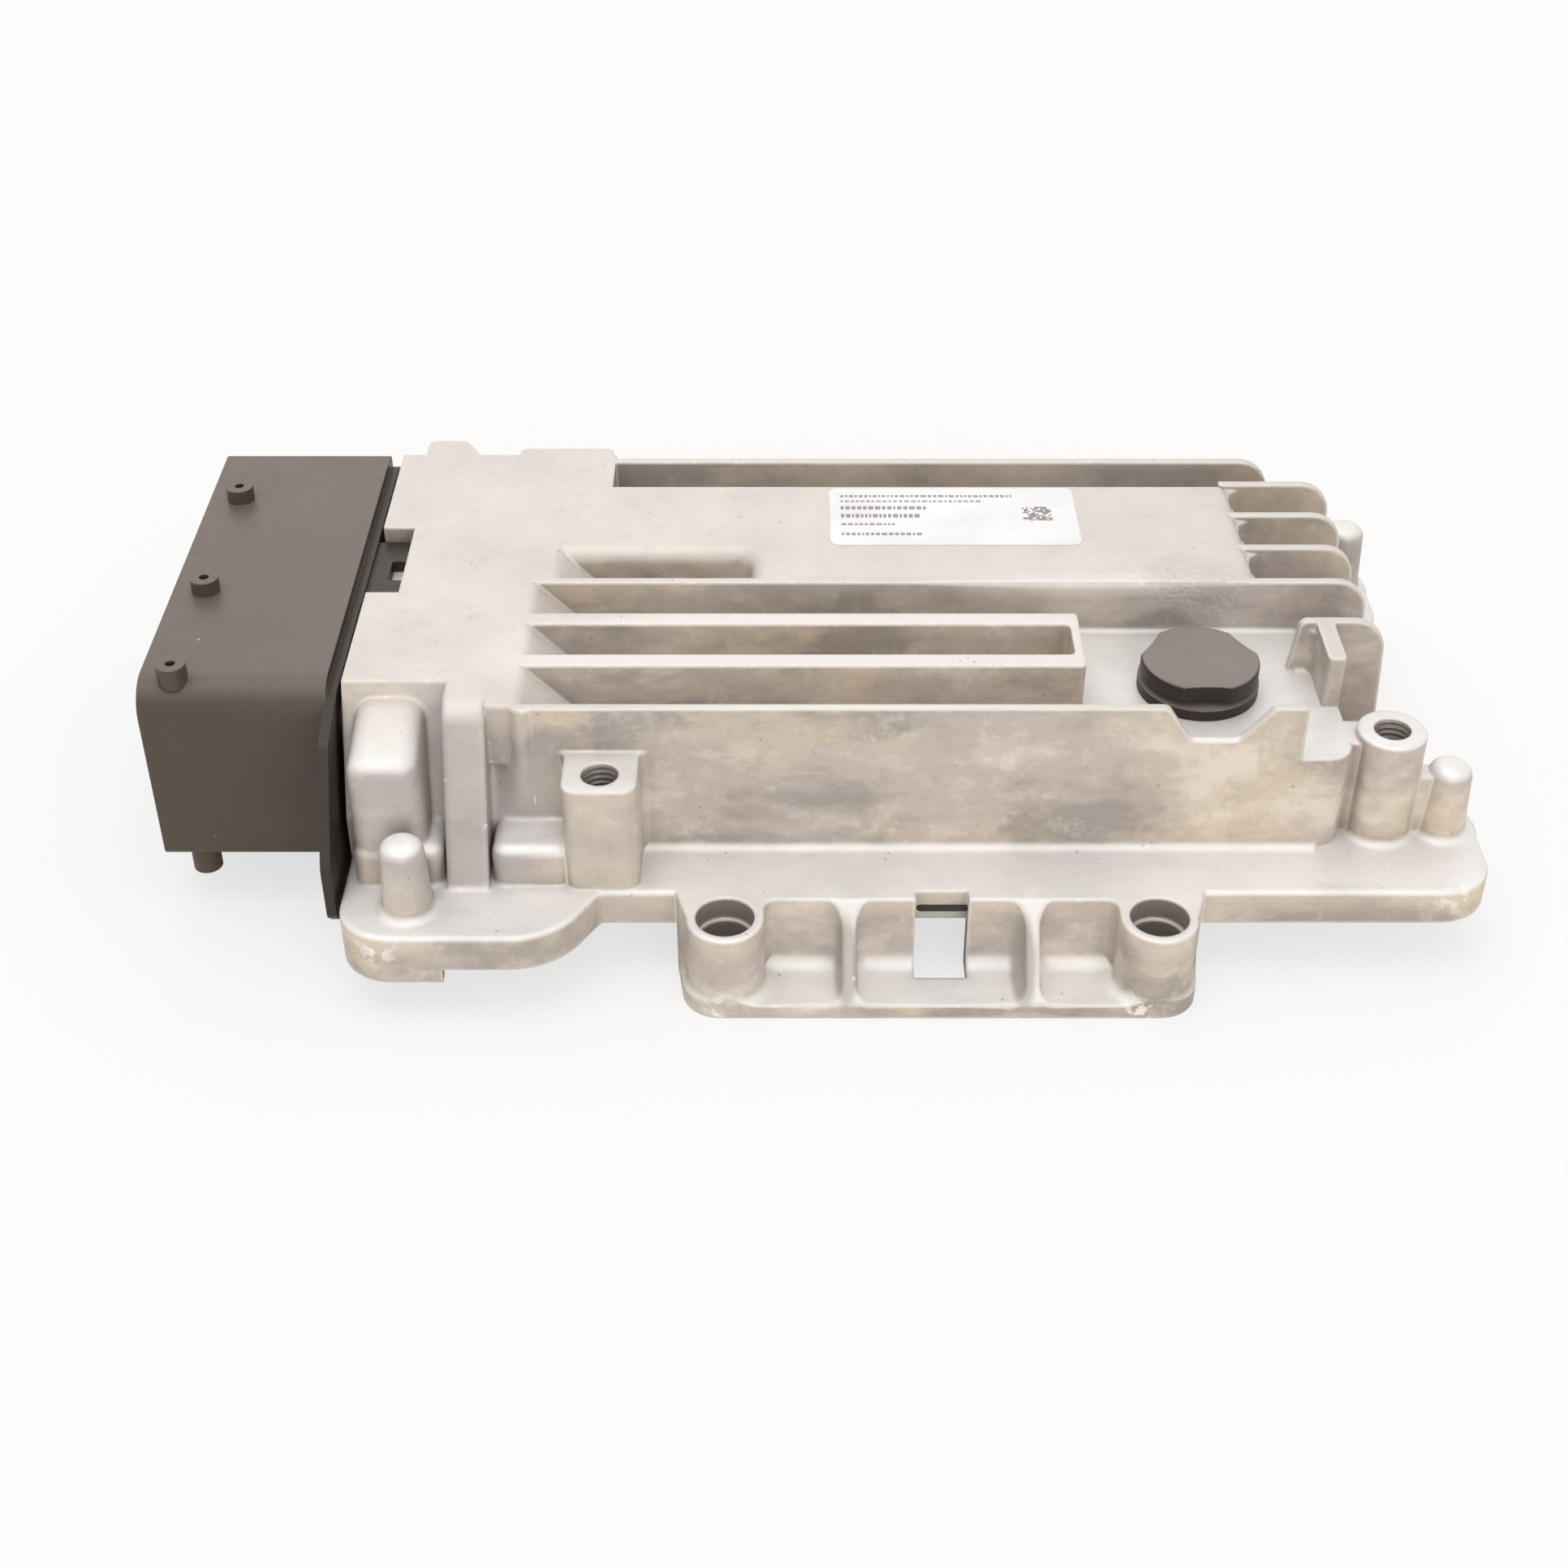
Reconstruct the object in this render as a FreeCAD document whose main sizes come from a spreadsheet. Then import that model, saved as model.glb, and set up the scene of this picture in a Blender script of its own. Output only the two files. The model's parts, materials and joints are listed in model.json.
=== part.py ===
import FreeCAD, Part
import math
import os
import Sketcher

# Reductant dosing control module: a die-cast finned housing with a base cover,
# a plastic connector header at its left end and a circuit board inside.
# Frame: millimetres, +Z up, X along the length with the connector at -X, Y to the back.
# The origin is midway between the two bracket bores, on the underside of the bracket.

Vector = FreeCAD.Vector
Rotation = FreeCAD.Rotation
Placement = FreeCAD.Placement

doc = FreeCAD.newDocument("dosing_control_module")
sheet = doc.addObject("Spreadsheet::Sheet", "Sizes")


def text_of(item):
    """The expression text of a size or a plain number."""
    return item.text if isinstance(item, Size) else f"({item})"


def number_of(item):
    """The number behind a size or a plain number."""
    return item.number if isinstance(item, Size) else item


class Size:
    """A length that carries both its sheet expression and its number."""

    def __init__(self, text, number):
        self.text = text
        self.number = number

    def __add__(self, other):
        return Size(f"({self.text} + {text_of(other)})", self.number + number_of(other))

    def __radd__(self, other):
        return Size(f"({text_of(other)} + {self.text})", number_of(other) + self.number)

    def __sub__(self, other):
        return Size(f"({self.text} - {text_of(other)})", self.number - number_of(other))

    def __rsub__(self, other):
        return Size(f"({text_of(other)} - {self.text})", number_of(other) - self.number)

    def __mul__(self, factor):
        return Size(f"({self.text} * {text_of(factor)})", self.number * number_of(factor))

    def __rmul__(self, factor):
        return Size(f"({text_of(factor)} * {self.text})", number_of(factor) * self.number)

    def __truediv__(self, divisor):
        return Size(f"({self.text} / {text_of(divisor)})", self.number / number_of(divisor))

    def __neg__(self):
        return Size(f"(0 - {self.text})", -self.number)


def size(alias, number, note):
    """Writes one driving dimension into the sheet and returns it."""
    size.row += 1
    sheet.set(f"A{size.row}", note)
    sheet.set(f"B{size.row}", str(number))
    sheet.setAlias(f"B{size.row}", alias)
    return Size(f"Sizes.{alias}", number)


size.row = 0

# Levels, from the bracket underside upwards
rim_base = size("rim_base", 9.4, "lower edge of the flange rim")
rim_depth = size("rim_depth", 2.3, "depth of the rim round the cover")
flange_thick = size("flange_thick", 3.8, "flange above the cover seat")
chamber_rise = size("chamber_rise", 17.5, "channel floors above the flange")
rib_height = size("rib_height", 9.5, "ribs and deck above the channel floors")
wall = size("wall", 3.0, "casting wall of the chamber")
seat_level = rim_base + rim_depth
flange_top = seat_level + flange_thick
roof_top = flange_top + chamber_rise
deck_top = roof_top + rib_height
roof_inner = roof_top - wall

# Chamber in plan
left_reach = size("left_reach", 93.4, "origin to the connector end face")
chamber_reach = size("chamber_reach", 64.6, "origin to the right chamber wall")
front_face = size("front_face", 17.2, "front wall, outer face")
back_face = size("back_face", 98.0, "back wall, outer face")
chamber_corner = size("chamber_corner", 4.0, "upright corner radius of the chamber")
cavity_corner_step = size("cavity_corner_step", 1.0, "chamber corner radius over that of its cavity")
end_face = -left_reach

# Flange outline
flange_front = size("flange_front", 5.9, "front edge of the flange")
flange_reach = size("flange_reach", 87.5, "right end of the flange")
flange_back = size("flange_back", 101.5, "back edge of the flange")
flange_corner = size("flange_corner", 8.5, "flange corner radius")
front_lobe_reach = size("front_lobe_reach", 11.2, "left front lobe ahead of the flange edge")
front_lobe_width = size("front_lobe_width", 40.2, "left front lobe along the edge")
front_lobe_slope = size("front_lobe_slope", 6.5, "lobe side leans by this much")
front_lobe_round = size("front_lobe_round", 12.0, "radius of the lobe's right corner")
lobe_blend = size("lobe_blend", 3.0, "blends between lobes and straight edges")
flange_edge = size("flange_edge", 0.9, "rounding of the upper flange edge")
back_lobe_reach = size("back_lobe_reach", 4.0, "back lobes behind the flange edge")
back_lobe_width = size("back_lobe_width", 19.0, "back lobes along the edge")
waist_depth = size("waist_depth", 9.5, "right edge set in between its two lobes")
waist_front = size("waist_front", 32.0, "start of the waist")
waist_back = size("waist_back", 86.0, "end of the waist")
waist_slope = size("waist_slope", 11.0, "length of each waist shoulder")
rear_lobe_inset = size("rear_lobe_inset", 2.6, "rear right lobe short of the front right one")
rim_width = size("rim_width", 1.8, "width of the rim round the cover")
foot_drop = size("foot_drop", 2.6, "left foot below the rim")
foot_width = size("foot_width", 16.4, "left foot along the lobe")

# Bracket
bore_spacing = size("bore_spacing", 67.0, "bracket bore centres")
bore_radius = size("bore_radius", 4.6, "bracket bore, upper part")
bore_lower_radius = size("bore_lower_radius", 4.2, "bracket bore, lower part")
bore_step_level = size("bore_step_level", 11.4, "height of the step inside the bore")
bracket_boss_radius = size("bracket_boss_radius", 6.0, "bracket boss, outer radius")
shelf_thick = size("shelf_thick", 2.5, "bracket shelf thickness")
bracket_web_reach = size("bracket_web_reach", 1.7, "bracket web ahead of the flange edge")
bracket_flare = size("bracket_flare", 1.8, "bracket sides wider at the flange than at the bores")
bracket_corner = size("bracket_corner", 6.0, "corner radius of the shelf")
bracket_cove = size("bracket_cove", 2.6, "hollow radius in the bracket bays")
boss_cove = size("boss_cove", 2.0, "hollow radius round the bracket bosses")
gusset_spacing = size("gusset_spacing", 28.6, "centres of the two gussets")
gusset_thick = size("gusset_thick", 2.1, "gusset thickness")
window_width = size("window_width", 8.3, "bracket window along the shelf")
window_front = size("window_front", 0.6, "front edge of the window")
window_bite = size("window_bite", 0.4, "window cut into the flange edge")
window_shift = size("window_shift", 0.25, "window centre off the bracket centre")

# Ribs and channels on the roof
rib_gap_front = size("rib_gap_front", 10.5, "front channel width")
rib_gap_middle = size("rib_gap_middle", 8.8, "middle channel width")
rib_gap_back = size("rib_gap_back", 9.5, "back channel width")
thick_rib = size("thick_rib", 3.3, "thickness of the two thick ribs")
thin_rib = size("thin_rib", 1.4, "thickness of the thin ribs and fins")
channel_left = size("channel_left", 65.8, "origin to the channel ramp tops")
ramp_round = size("ramp_round", 2.4, "rounding of the ramp tops")
thick_rib_end = size("thick_rib_end", 23.2, "right end of the thick ribs")
front_wall_end = size("front_wall_end", 56.2, "right end of the front wall top")
notch_left = size("notch_left", 34.7, "left top of the front wall notch")
notch_floor_left = size("notch_floor_left", 38.6, "left end of the notch floor")
notch_floor_right = size("notch_floor_right", 46.0, "right end of the notch floor")
notch_right = size("notch_right", 51.0, "right top of the notch")
notch_depth = size("notch_depth", 6.1, "depth of the front wall notch")
front_rib_back = front_face + thin_rib
rib_three = front_rib_back + rib_gap_front
rib_two = rib_three + thick_rib + rib_gap_middle
rib_one = rib_two + thick_rib + rib_gap_back

# Plateau and pocket
plateau_right = size("plateau_right", 54.4, "right end of the plateau")
plateau_back = size("plateau_back", 86.2, "back edge of the plateau")
plateau_round = size("plateau_round", 3.2, "rounding of the plateau edges")
plateau_edge_left = size("plateau_edge_left", 19.0, "origin to the left end of the front rounding")
plateau_edge_right = size("plateau_edge_right", 41.0, "right end of the front rounding")
plateau_run_out = size("plateau_run_out", 5.0, "length in which that rounding dies away")
pocket_left = size("pocket_left", 62.6, "origin to the pocket ramp top")
pocket_right = size("pocket_right", 30.0, "origin to the pocket right end")
pocket_width = size("pocket_width", 8.8, "pocket along Y")
slot_left = size("slot_left", 54.8, "origin to the left end of the back slot")
slot_back = size("slot_back", 95.2, "back edge of the slot")
back_fin_end = size("back_fin_end", 62.6, "right end of the back fin")

# Fins over the right end
fin_reach = size("fin_reach", 8.0, "fins beyond the right chamber wall")
fin_round = size("fin_round", 5.5, "radius of the fin shoulders")
fin_pitch = size("fin_pitch", 10.93, "pitch of the right end fins")
fin_count = 4
fin_lean = size("fin_lean", 1.4, "fins reach further at the flange by this much")
fin_cove = size("fin_cove", 2.2, "hollow radius between the fins and the plateau end")
bay_fin_level = size("bay_fin_level", 41.9, "front face of the vent bay fin")
bay_fin_left = size("bay_fin_left", 59.3, "left end of the vent bay fin")
bay_fin_reach = size("bay_fin_reach", 8.6, "vent bay fin beyond the chamber wall")
bay_rib_thick = size("bay_rib_thick", 2.8, "rib on the right edge of the vent bay")
bay_rib_front = size("bay_rib_front", 31.1, "front end of that rib")

# Left deck
end_wall_top = size("end_wall_top", 25.0, "front edge of the deck at the end face")
end_wall_foot = size("end_wall_foot", 15.6, "foot of the leaning front wall")
end_wall_width = size("end_wall_width", 16.4, "leaning wall along X")
ledge_rise = size("ledge_rise", 7.0, "ledge above the flange")
ledge_front = size("ledge_front", 7.5, "front face of the ledge")
ledge_round = size("ledge_round", 2.4, "rounding of the ledge")
ledge_gap = size("ledge_gap", 0.5, "end of each ledge to the pilaster")
draft_level = size("draft_level", 8.2, "leaning part starts this far below the deck")
pilaster_width = size("pilaster_width", 6.5, "pilaster along X")
pilaster_foot = size("pilaster_foot", 6.6, "front foot of the pilaster")
pilaster_round = size("pilaster_round", 4.5, "rounding of the pilaster top")
deck_step = size("deck_step", 3.1, "deck edge behind the front wall")
deck_step_start = size("deck_step_start", 69.0, "origin to the start of the curve in the deck edge")
deck_step_end = size("deck_step_end", 66.2, "origin to the end of that curve")
pilaster_reach = size("pilaster_reach", 2.1, "pilaster top ahead of the deck edge")
deck_notch_front = size("deck_notch_front", 51.0, "front end of the end face notch")
deck_notch_length = size("deck_notch_length", 21.0, "length of the end face notch")
deck_notch_width = size("deck_notch_width", 5.4, "depth of the notch into the deck")
deck_notch_drop = size("deck_notch_drop", 4.5, "notch floor below the deck")
deck_bump_width = size("deck_bump_width", 6.8, "back column along X")
deck_bump_left = size("deck_bump_left", 4.1, "back column from the end face")
deck_bump_reach = size("deck_bump_reach", 5.3, "back column behind the back wall")
back_pad_left = size("back_pad_left", 72.3, "origin to the left end of the back pad")
back_pad_right = size("back_pad_right", 55.4, "origin to the right end of the back pad")
back_pad_reach = size("back_pad_reach", 2.4, "back pad behind the back wall")

# Bosses on the flange
block_left = size("block_left", 1.9, "front block from the end face")
block_width = size("block_width", 11.0, "front block along X at its top")
block_spread = size("block_spread", 1.0, "block wider at its foot by this much")
block_front = size("block_front", 7.4, "front face of the block at its foot")
block_lean = size("block_lean", 1.9, "front face leans back by this much")
block_drop = size("block_drop", 2.4, "top of the block below the deck")
block_slope = size("block_slope", 3.2, "fall of the block top to the front")
block_round = size("block_round", 3.2, "rounding of the block")
stud_rise = size("stud_rise", 12.9, "screw bosses above the flange")
stud_radius = size("stud_radius", 4.0, "screw boss radius at the flange")
stud_tip_radius = size("stud_tip_radius", 3.4, "screw boss radius at the top")
stud_dome = size("stud_dome", 2.2, "rounding of the screw boss tops")
cast_cove = size("cast_cove", 1.5, "hollow radius at the foot of walls and bosses")
rib_cove = size("rib_cove", 1.0, "hollow radius at the foot of the ribs")
front_stud_inset = size("front_stud_inset", 10.8, "front screw boss from the end face")
front_stud_depth = size("front_stud_depth", 3.3, "front screw boss ahead of the flange edge")
right_stud_inset = size("right_stud_inset", 5.9, "right screw boss from the flange end")
right_stud_depth = size("right_stud_depth", 22.6, "right screw boss along Y")
rear_right_inset = size("rear_right_inset", 5.4, "rear right screw boss from the lobe end")
rear_stud_inset = size("rear_stud_inset", 8.3, "rear screw bosses from the back of the lobes")
rear_left_inset = size("rear_left_inset", 8.9, "rear left screw boss from the end face")
web_drop = size("web_drop", 1.6, "right stud web below the screw boss top")
rear_web_drop = size("rear_web_drop", 4.4, "rear stud web below the screw boss top")
boss_rise = size("boss_rise", 19.0, "threaded bosses above the flange")
thread_radius = size("thread_radius", 2.9, "pilot bore of the threaded bosses")
thread_depth = size("thread_depth", 14.0, "depth of those bores")
square_boss_left = size("square_boss_left", 58.4, "origin to the square boss left face")
square_boss_width = size("square_boss_width", 11.5, "square boss along X")
square_boss_round = size("square_boss_round", 2.3, "upright edges of the square boss")
square_boss_inset = size("square_boss_inset", 0.6, "square boss behind the flange edge")
square_boss_bore = size("square_boss_bore", 5.35, "its bore behind the flange edge")
round_boss_place = size("round_boss_place", 71.3, "round boss along X")
round_boss_depth = size("round_boss_depth", 23.2, "round boss along Y")
round_boss_radius = size("round_boss_radius", 5.5, "round boss radius")

# Cavity and posts
core_gap = size("core_gap", 3.5, "wall left round the raised cores")
cavity_front = size("cavity_front", 22.5, "front of the cavity")
end_wall = size("end_wall", 6.0, "left wall of the cavity")
post_radius = size("post_radius", 3.6, "board post radius")
post_inset = size("post_inset", 3.0, "left posts from the channel ramps")
post_end_gap = size("post_end_gap", 9.0, "right posts from the chamber end")
post_front_gap = size("post_front_gap", 6.5, "front posts from the cavity front")
post_back_gap = size("post_back_gap", 11.0, "back posts from the back wall")
post_bore = size("post_bore", 1.5, "board screw pilot radius")
post_bore_depth = size("post_bore_depth", 8.0, "board screw pilot depth")

# Cover, gasket and their screws
cover_play = size("cover_play", 0.3, "play between the rim and the cover")
cover_thick = size("cover_thick", 2.0, "cover sheet thickness")
gasket_inset = size("gasket_inset", 1.5, "gasket edge inside the cover edge")
gasket_thick = size("gasket_thick", 1.1, "cover gasket thickness")
pan_margin = size("pan_margin", 2.5, "pan walls outside the front of the cavity")
pan_side = size("pan_side", 4.0, "pan walls inside the chamber ends")
pan_back_gap = size("pan_back_gap", 1.1, "pan wall ahead of the rear screw heads")
pan_left_gap = size("pan_left_gap", 2.0, "pan wall right of the cavity's left end")
pan_sink = size("pan_sink", 0.5, "pan walls run this far into the sheet")
pan_corner = size("pan_corner", 6.0, "pan corner radius")
pan_edge = size("pan_edge", 2.2, "rounding of the pan floor edge")
cover_screw_radius = size("cover_screw_radius", 2.0, "cover screw shank radius")
thread_play = size("thread_play", 0.05, "screw shanks inside their bores")
cover_screw_play = size("cover_screw_play", 0.25, "cover screw hole clearance")
cover_screw_grip = size("cover_screw_grip", 9.0, "cover screw length in the casting")
thread_spare = size("thread_spare", 0.5, "cover thread beyond the screw tip")
cover_head_radius = size("cover_head_radius", 3.6, "cover screw head radius")
cover_head_height = size("cover_head_height", 2.6, "cover screw head height")
socket_radius = size("socket_radius", 1.5, "drive recess radius")
socket_depth = size("socket_depth", 1.4, "drive recess depth")

# Connector header
seal_thick = size("seal_thick", 0.8, "header seal thickness")
seal_band = size("seal_band", 4.0, "header seal beyond the pin carrier")
plate_thick = size("plate_thick", 1.6, "header flange thickness")
plate_top_drop = size("plate_top_drop", 1.7, "header flange below the deck")
plate_base = size("plate_base", 9.2, "lower edge of the header flange")
plate_back = size("plate_back", 99.0, "back edge of the header flange")
plate_front = size("plate_front", 3.9, "front edge of the header flange")
plate_waist = size("plate_waist", 21.5, "level where its front edge starts to lean")
plate_shoulder = size("plate_shoulder", 11.0, "length of its sloping shoulder")
plate_corner = size("plate_corner", 3.0, "header flange corner radius")
shroud_length = size("shroud_length", 29.5, "shroud along X")
shroud_front = size("shroud_front", 22.0, "front face of the shroud")
shroud_back = size("shroud_back", 98.8, "back face of the shroud")
shroud_base = size("shroud_base", 10.0, "underside of the shroud")
shroud_wall = size("shroud_wall", 2.4, "shroud wall")
shroud_round = size("shroud_round", 5.5, "shroud top front radius")
shroud_edge = size("shroud_edge", 1.6, "other shroud edge radii")
shroud_floor = size("shroud_floor", 2.5, "plastic behind the mating bays")
divider_place = size("divider_place", 51.4, "divider between the two bays")
divider_thick = size("divider_thick", 1.8, "divider thickness")
divider_recess = size("divider_recess", 8.0, "divider set back from the mouth")
carrier_front = size("carrier_front", 27.5, "front of the pin carrier")
carrier_back = size("carrier_back", 94.5, "back of the pin carrier")
carrier_base = size("carrier_base", 17.5, "underside of the pin carrier")
carrier_height = size("carrier_height", 16.0, "height of the pin carrier")
carrier_reach = size("carrier_reach", 4.9, "carrier beyond the end face")
carrier_play = size("carrier_play", 0.6, "play round the carrier")
peg_radius = size("peg_radius", 2.35, "peg radius")
peg_bore = size("peg_bore", 0.8, "peg bore radius")
peg_height = size("peg_height", 2.7, "upper pegs above the shroud")
lower_peg_height = size("lower_peg_height", 4.8, "lower pegs below the shroud")
peg_inset = size("peg_inset", 5.5, "pegs from the mouth")
peg_front = size("peg_front", 25.8, "front peg")
peg_middle = size("peg_middle", 51.4, "middle peg")
peg_rear = size("peg_rear", 81.8, "rear peg")
tab_length = size("tab_length", 19.4, "locating tab along Y")
tab_place = size("tab_place", 0.8, "locating tab from the front of the notch")
tab_reach = size("tab_reach", 4.9, "locating tab into the notch")
tab_thick = size("tab_thick", 2.0, "locating tab thickness")
tab_slot_place = size("tab_slot_place", 7.0, "slot in the tab from its front end")
tab_slot_length = size("tab_slot_length", 6.0, "length of that slot")
tab_slot_width = size("tab_slot_width", 2.6, "depth of that slot into the tab")

# Pins
pin_width = size("pin_width", 0.64, "signal pin section")
pin_pitch = size("pin_pitch", 2.54, "signal pin pitch")
pin_front = size("pin_front", 56.6, "first signal pin")
pin_row_gap = size("pin_row_gap", 4.5, "signal pin rows")
pin_first_row = size("pin_first_row", 20.6, "lowest signal row")
pin_tip_recess = size("pin_tip_recess", 9.0, "pin tips behind the mouth")
pin_bend_gap = size("pin_bend_gap", 2.6, "bends of neighbouring rows")
pin_bend_start = size("pin_bend_start", 2.9, "cavity wall to the first bend")
pin_tail = size("pin_tail", 0.9, "pin tails below the board")
pin_columns = 15
pin_rows = 3
blade_width = size("blade_width", 2.8, "power blade width")
blade_thick = size("blade_thick", 0.8, "power blade thickness")
blade_pitch = size("blade_pitch", 5.2, "power blade pitch")
blade_front = size("blade_front", 30.6, "first power blade")
blade_row_gap = size("blade_row_gap", 7.0, "power blade rows")
blade_rise = size("blade_rise", 1.0, "first blade row above the first pin row")
blade_bend_gap = size("blade_bend_gap", 4.2, "bends of the two blade rows")
blade_columns = 4
blade_rows = 2

# Circuit board and what stands on it
board_lift = size("board_lift", 0.3, "board above the cover seat level")
board_thick = size("board_thick", 1.6, "board thickness")
board_gap = size("board_gap", 1.0, "board to the cavity walls")
board_hole_play = size("board_hole_play", 0.2, "clearance of holes in the board")
board_screw_grip = size("board_screw_grip", 6.0, "board screw length in the post")
board_head_radius = size("board_head_radius", 2.5, "board screw head radius")
board_head_height = size("board_head_height", 1.8, "board screw head height")
board_socket_radius = size("board_socket_radius", 1.2, "board screw drive across its corners, half")
board_socket_depth = size("board_socket_depth", 1.0, "board screw drive depth")
board_corner = size("board_corner", 3.0, "board corner radius")
board_base = seat_level + board_lift
board_top = board_base + board_thick

# Vent
vent_place = size("vent_place", 42.7, "vent centre along X")
vent_depth = size("vent_depth", 37.2, "vent centre along Y")
vent_base_radius = size("vent_base_radius", 9.75, "vent base radius")
vent_base_height = size("vent_base_height", 1.9, "vent base height")
vent_gap = size("vent_gap", 1.4, "air gap under the cap")
vent_cap_radius = size("vent_cap_radius", 9.5, "vent cap radius")
vent_cap_height = size("vent_cap_height", 2.4, "vent cap height")
vent_grip_radius = size("vent_grip_radius", 25.0, "radius of the three grip hollows in the cap")
vent_grip_depth = size("vent_grip_depth", 1.1, "depth of those hollows")
vent_cap_edge = size("vent_cap_edge", 0.4, "rounding of the cap's top edge")
vent_neck_radius = size("vent_neck_radius", 5.0, "vent neck radius")
vent_bore_radius = size("vent_bore_radius", 2.6, "air passage radius")
vent_hole_play = size("vent_hole_play", 0.2, "play of the neck in the roof")
vent_hook_reach = size("vent_hook_reach", 0.7, "snap hooks beyond the hole")
vent_hook_height = size("vent_hook_height", 2.0, "snap hooks below the roof")
vent_hook_lead = size("vent_hook_lead", 0.5, "taper at the end of the snap hooks")
vent_hook_land = size("vent_hook_land", 0.25, "straight edge of the snap hooks")
vent_hook_play = size("vent_hook_play", 0.05, "snap hooks below the roof face")
membrane_thick = size("membrane_thick", 0.4, "vent membrane thickness")
membrane_radius = size("membrane_radius", 4.2, "vent membrane radius")
vent_seal_radius = size("vent_seal_radius", 0.5, "half the vent seal section")
vent_seal_ring = size("vent_seal_ring", 7.2, "vent seal ring radius")
vent_post_radius = size("vent_post_radius", 0.9, "cap post radius")
vent_post_ring = size("vent_post_ring", 6.4, "cap posts from the centre")

# Label
label_left = size("label_left", 16.5, "origin to the left edge of the label")
label_width = size("label_width", 43.0, "label along X")
label_front = size("label_front", 66.0, "front edge of the label")
label_depth = size("label_depth", 19.6, "label along Y")
label_thick = size("label_thick", 0.15, "label thickness")
label_corner = size("label_corner", 1.5, "label corner radius")

# Components on the board, each from the board top upwards
transistor_count = 6
transistor_left = size("transistor_left", 50.0, "origin to the first power transistor")
transistor_depth = size("transistor_depth", 40.0, "power transistor row along Y")
transistor_pitch = size("transistor_pitch", 11.0, "power transistor pitch")
transistor_width = size("transistor_width", 6.6, "power transistor width")
transistor_length = size("transistor_length", 6.2, "power transistor length")
transistor_height = size("transistor_height", 2.3, "power transistor height")
transistor_tab = size("transistor_tab", 1.2, "transistor tab beyond the package")
transistor_tab_thick = size("transistor_tab_thick", 0.6, "transistor tab thickness")
transistor_leg = size("transistor_leg", 0.8, "transistor leg width")
transistor_leg_thick = size("transistor_leg_thick", 0.5, "transistor leg thickness")
transistor_leg_reach = size("transistor_leg_reach", 2.1, "transistor legs beyond the package")
thermal_pad_thick = size("thermal_pad_thick", 0.6, "thermal pad thickness")
pedestal_margin = size("pedestal_margin", 1.0, "heat pedestal beyond the transistors")
processor_place = size("processor_place", 42.0, "origin to the processor")
processor_depth = size("processor_depth", 70.0, "processor along Y")
processor_side = size("processor_side", 14.0, "processor package side")
processor_height = size("processor_height", 1.4, "processor package height")
processor_pitch = size("processor_pitch", 1.0, "processor lead pitch")
processor_leads = 12
driver_place = size("driver_place", 38.0, "pump driver along X")
driver_depth = size("driver_depth", 50.5, "pump driver along Y")
regulator_place = size("regulator_place", 63.0, "origin to the supply regulator")
regulator_depth = size("regulator_depth", 50.5, "supply regulator along Y")
power_chip_length = size("power_chip_length", 11.0, "power chip package length")
power_chip_width = size("power_chip_width", 7.5, "power chip package width")
power_chip_height = size("power_chip_height", 2.4, "power chip package height")
small_chip_length = size("small_chip_length", 5.0, "small chip package length")
small_chip_width = size("small_chip_width", 3.9, "small chip package width")
small_chip_height = size("small_chip_height", 1.5, "small chip package height")
chip_pitch = size("chip_pitch", 1.27, "lead pitch of the power and small chips")
power_chip_leads = 8
small_chip_leads = 4
transceiver_place = size("transceiver_place", 66.0, "origin to the bus transceivers")
transceiver_depth = size("transceiver_depth", 64.0, "first bus transceiver along Y")
transceiver_pitch = size("transceiver_pitch", 10.0, "bus transceiver pitch")
transceiver_count = 2
memory_place = size("memory_place", 28.0, "origin to the memory chip")
memory_depth = size("memory_depth", 78.0, "memory chip along Y")
lead_reach = size("lead_reach", 1.3, "chip leads beyond the package")
lead_foot = size("lead_foot", 0.6, "flat foot of a chip lead")
lead_thick = size("lead_thick", 0.2, "chip lead thickness")
lead_root = size("lead_root", 0.3, "chip lead inside the package")
lead_web = size("lead_web", 0.02, "unbroken lead strip beside the package")
chip_lift = size("chip_lift", 0.1, "package above the board")
can_place = size("can_place", 8.0, "origin to the first buffer capacitor")
can_depth = size("can_depth", 70.0, "buffer capacitors along Y")
can_pitch = size("can_pitch", 17.0, "buffer capacitor pitch")
can_radius = size("can_radius", 6.25, "buffer capacitor radius")
can_height = size("can_height", 20.0, "buffer capacitor height")
can_foot = size("can_foot", 1.6, "plastic foot of a buffer capacitor")
can_foot_side = size("can_foot_side", 12.9, "side of that foot")
can_count = 3
choke_place = size("choke_place", 42.0, "supply choke along X")
choke_depth = size("choke_depth", 68.0, "supply choke along Y")
choke_side = size("choke_side", 12.5, "supply choke side")
choke_height = size("choke_height", 7.0, "supply choke height")
choke_corner = size("choke_corner", 1.5, "supply choke corner radius")
choke_terminal = size("choke_terminal", 1.2, "supply choke terminal width")
crystal_place = size("crystal_place", 27.0, "origin to the crystal")
crystal_depth = size("crystal_depth", 62.0, "crystal along Y")
crystal_length = size("crystal_length", 5.0, "crystal length")
crystal_width = size("crystal_width", 3.2, "crystal width")
crystal_height = size("crystal_height", 1.2, "crystal height")
diode_place = size("diode_place", 74.0, "origin to the suppressor diodes")
diode_depth = size("diode_depth", 29.0, "first suppressor diode along Y")
diode_pitch = size("diode_pitch", 7.0, "suppressor diode pitch")
diode_length = size("diode_length", 6.8, "suppressor diode length")
diode_width = size("diode_width", 3.6, "suppressor diode width")
diode_height = size("diode_height", 2.4, "suppressor diode height")
diode_count = 4
chip_cap_left = size("chip_cap_left", 52.0, "origin to the first ceramic capacitor")
chip_cap_depth = size("chip_cap_depth", 87.5, "ceramic capacitors along Y")
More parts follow.
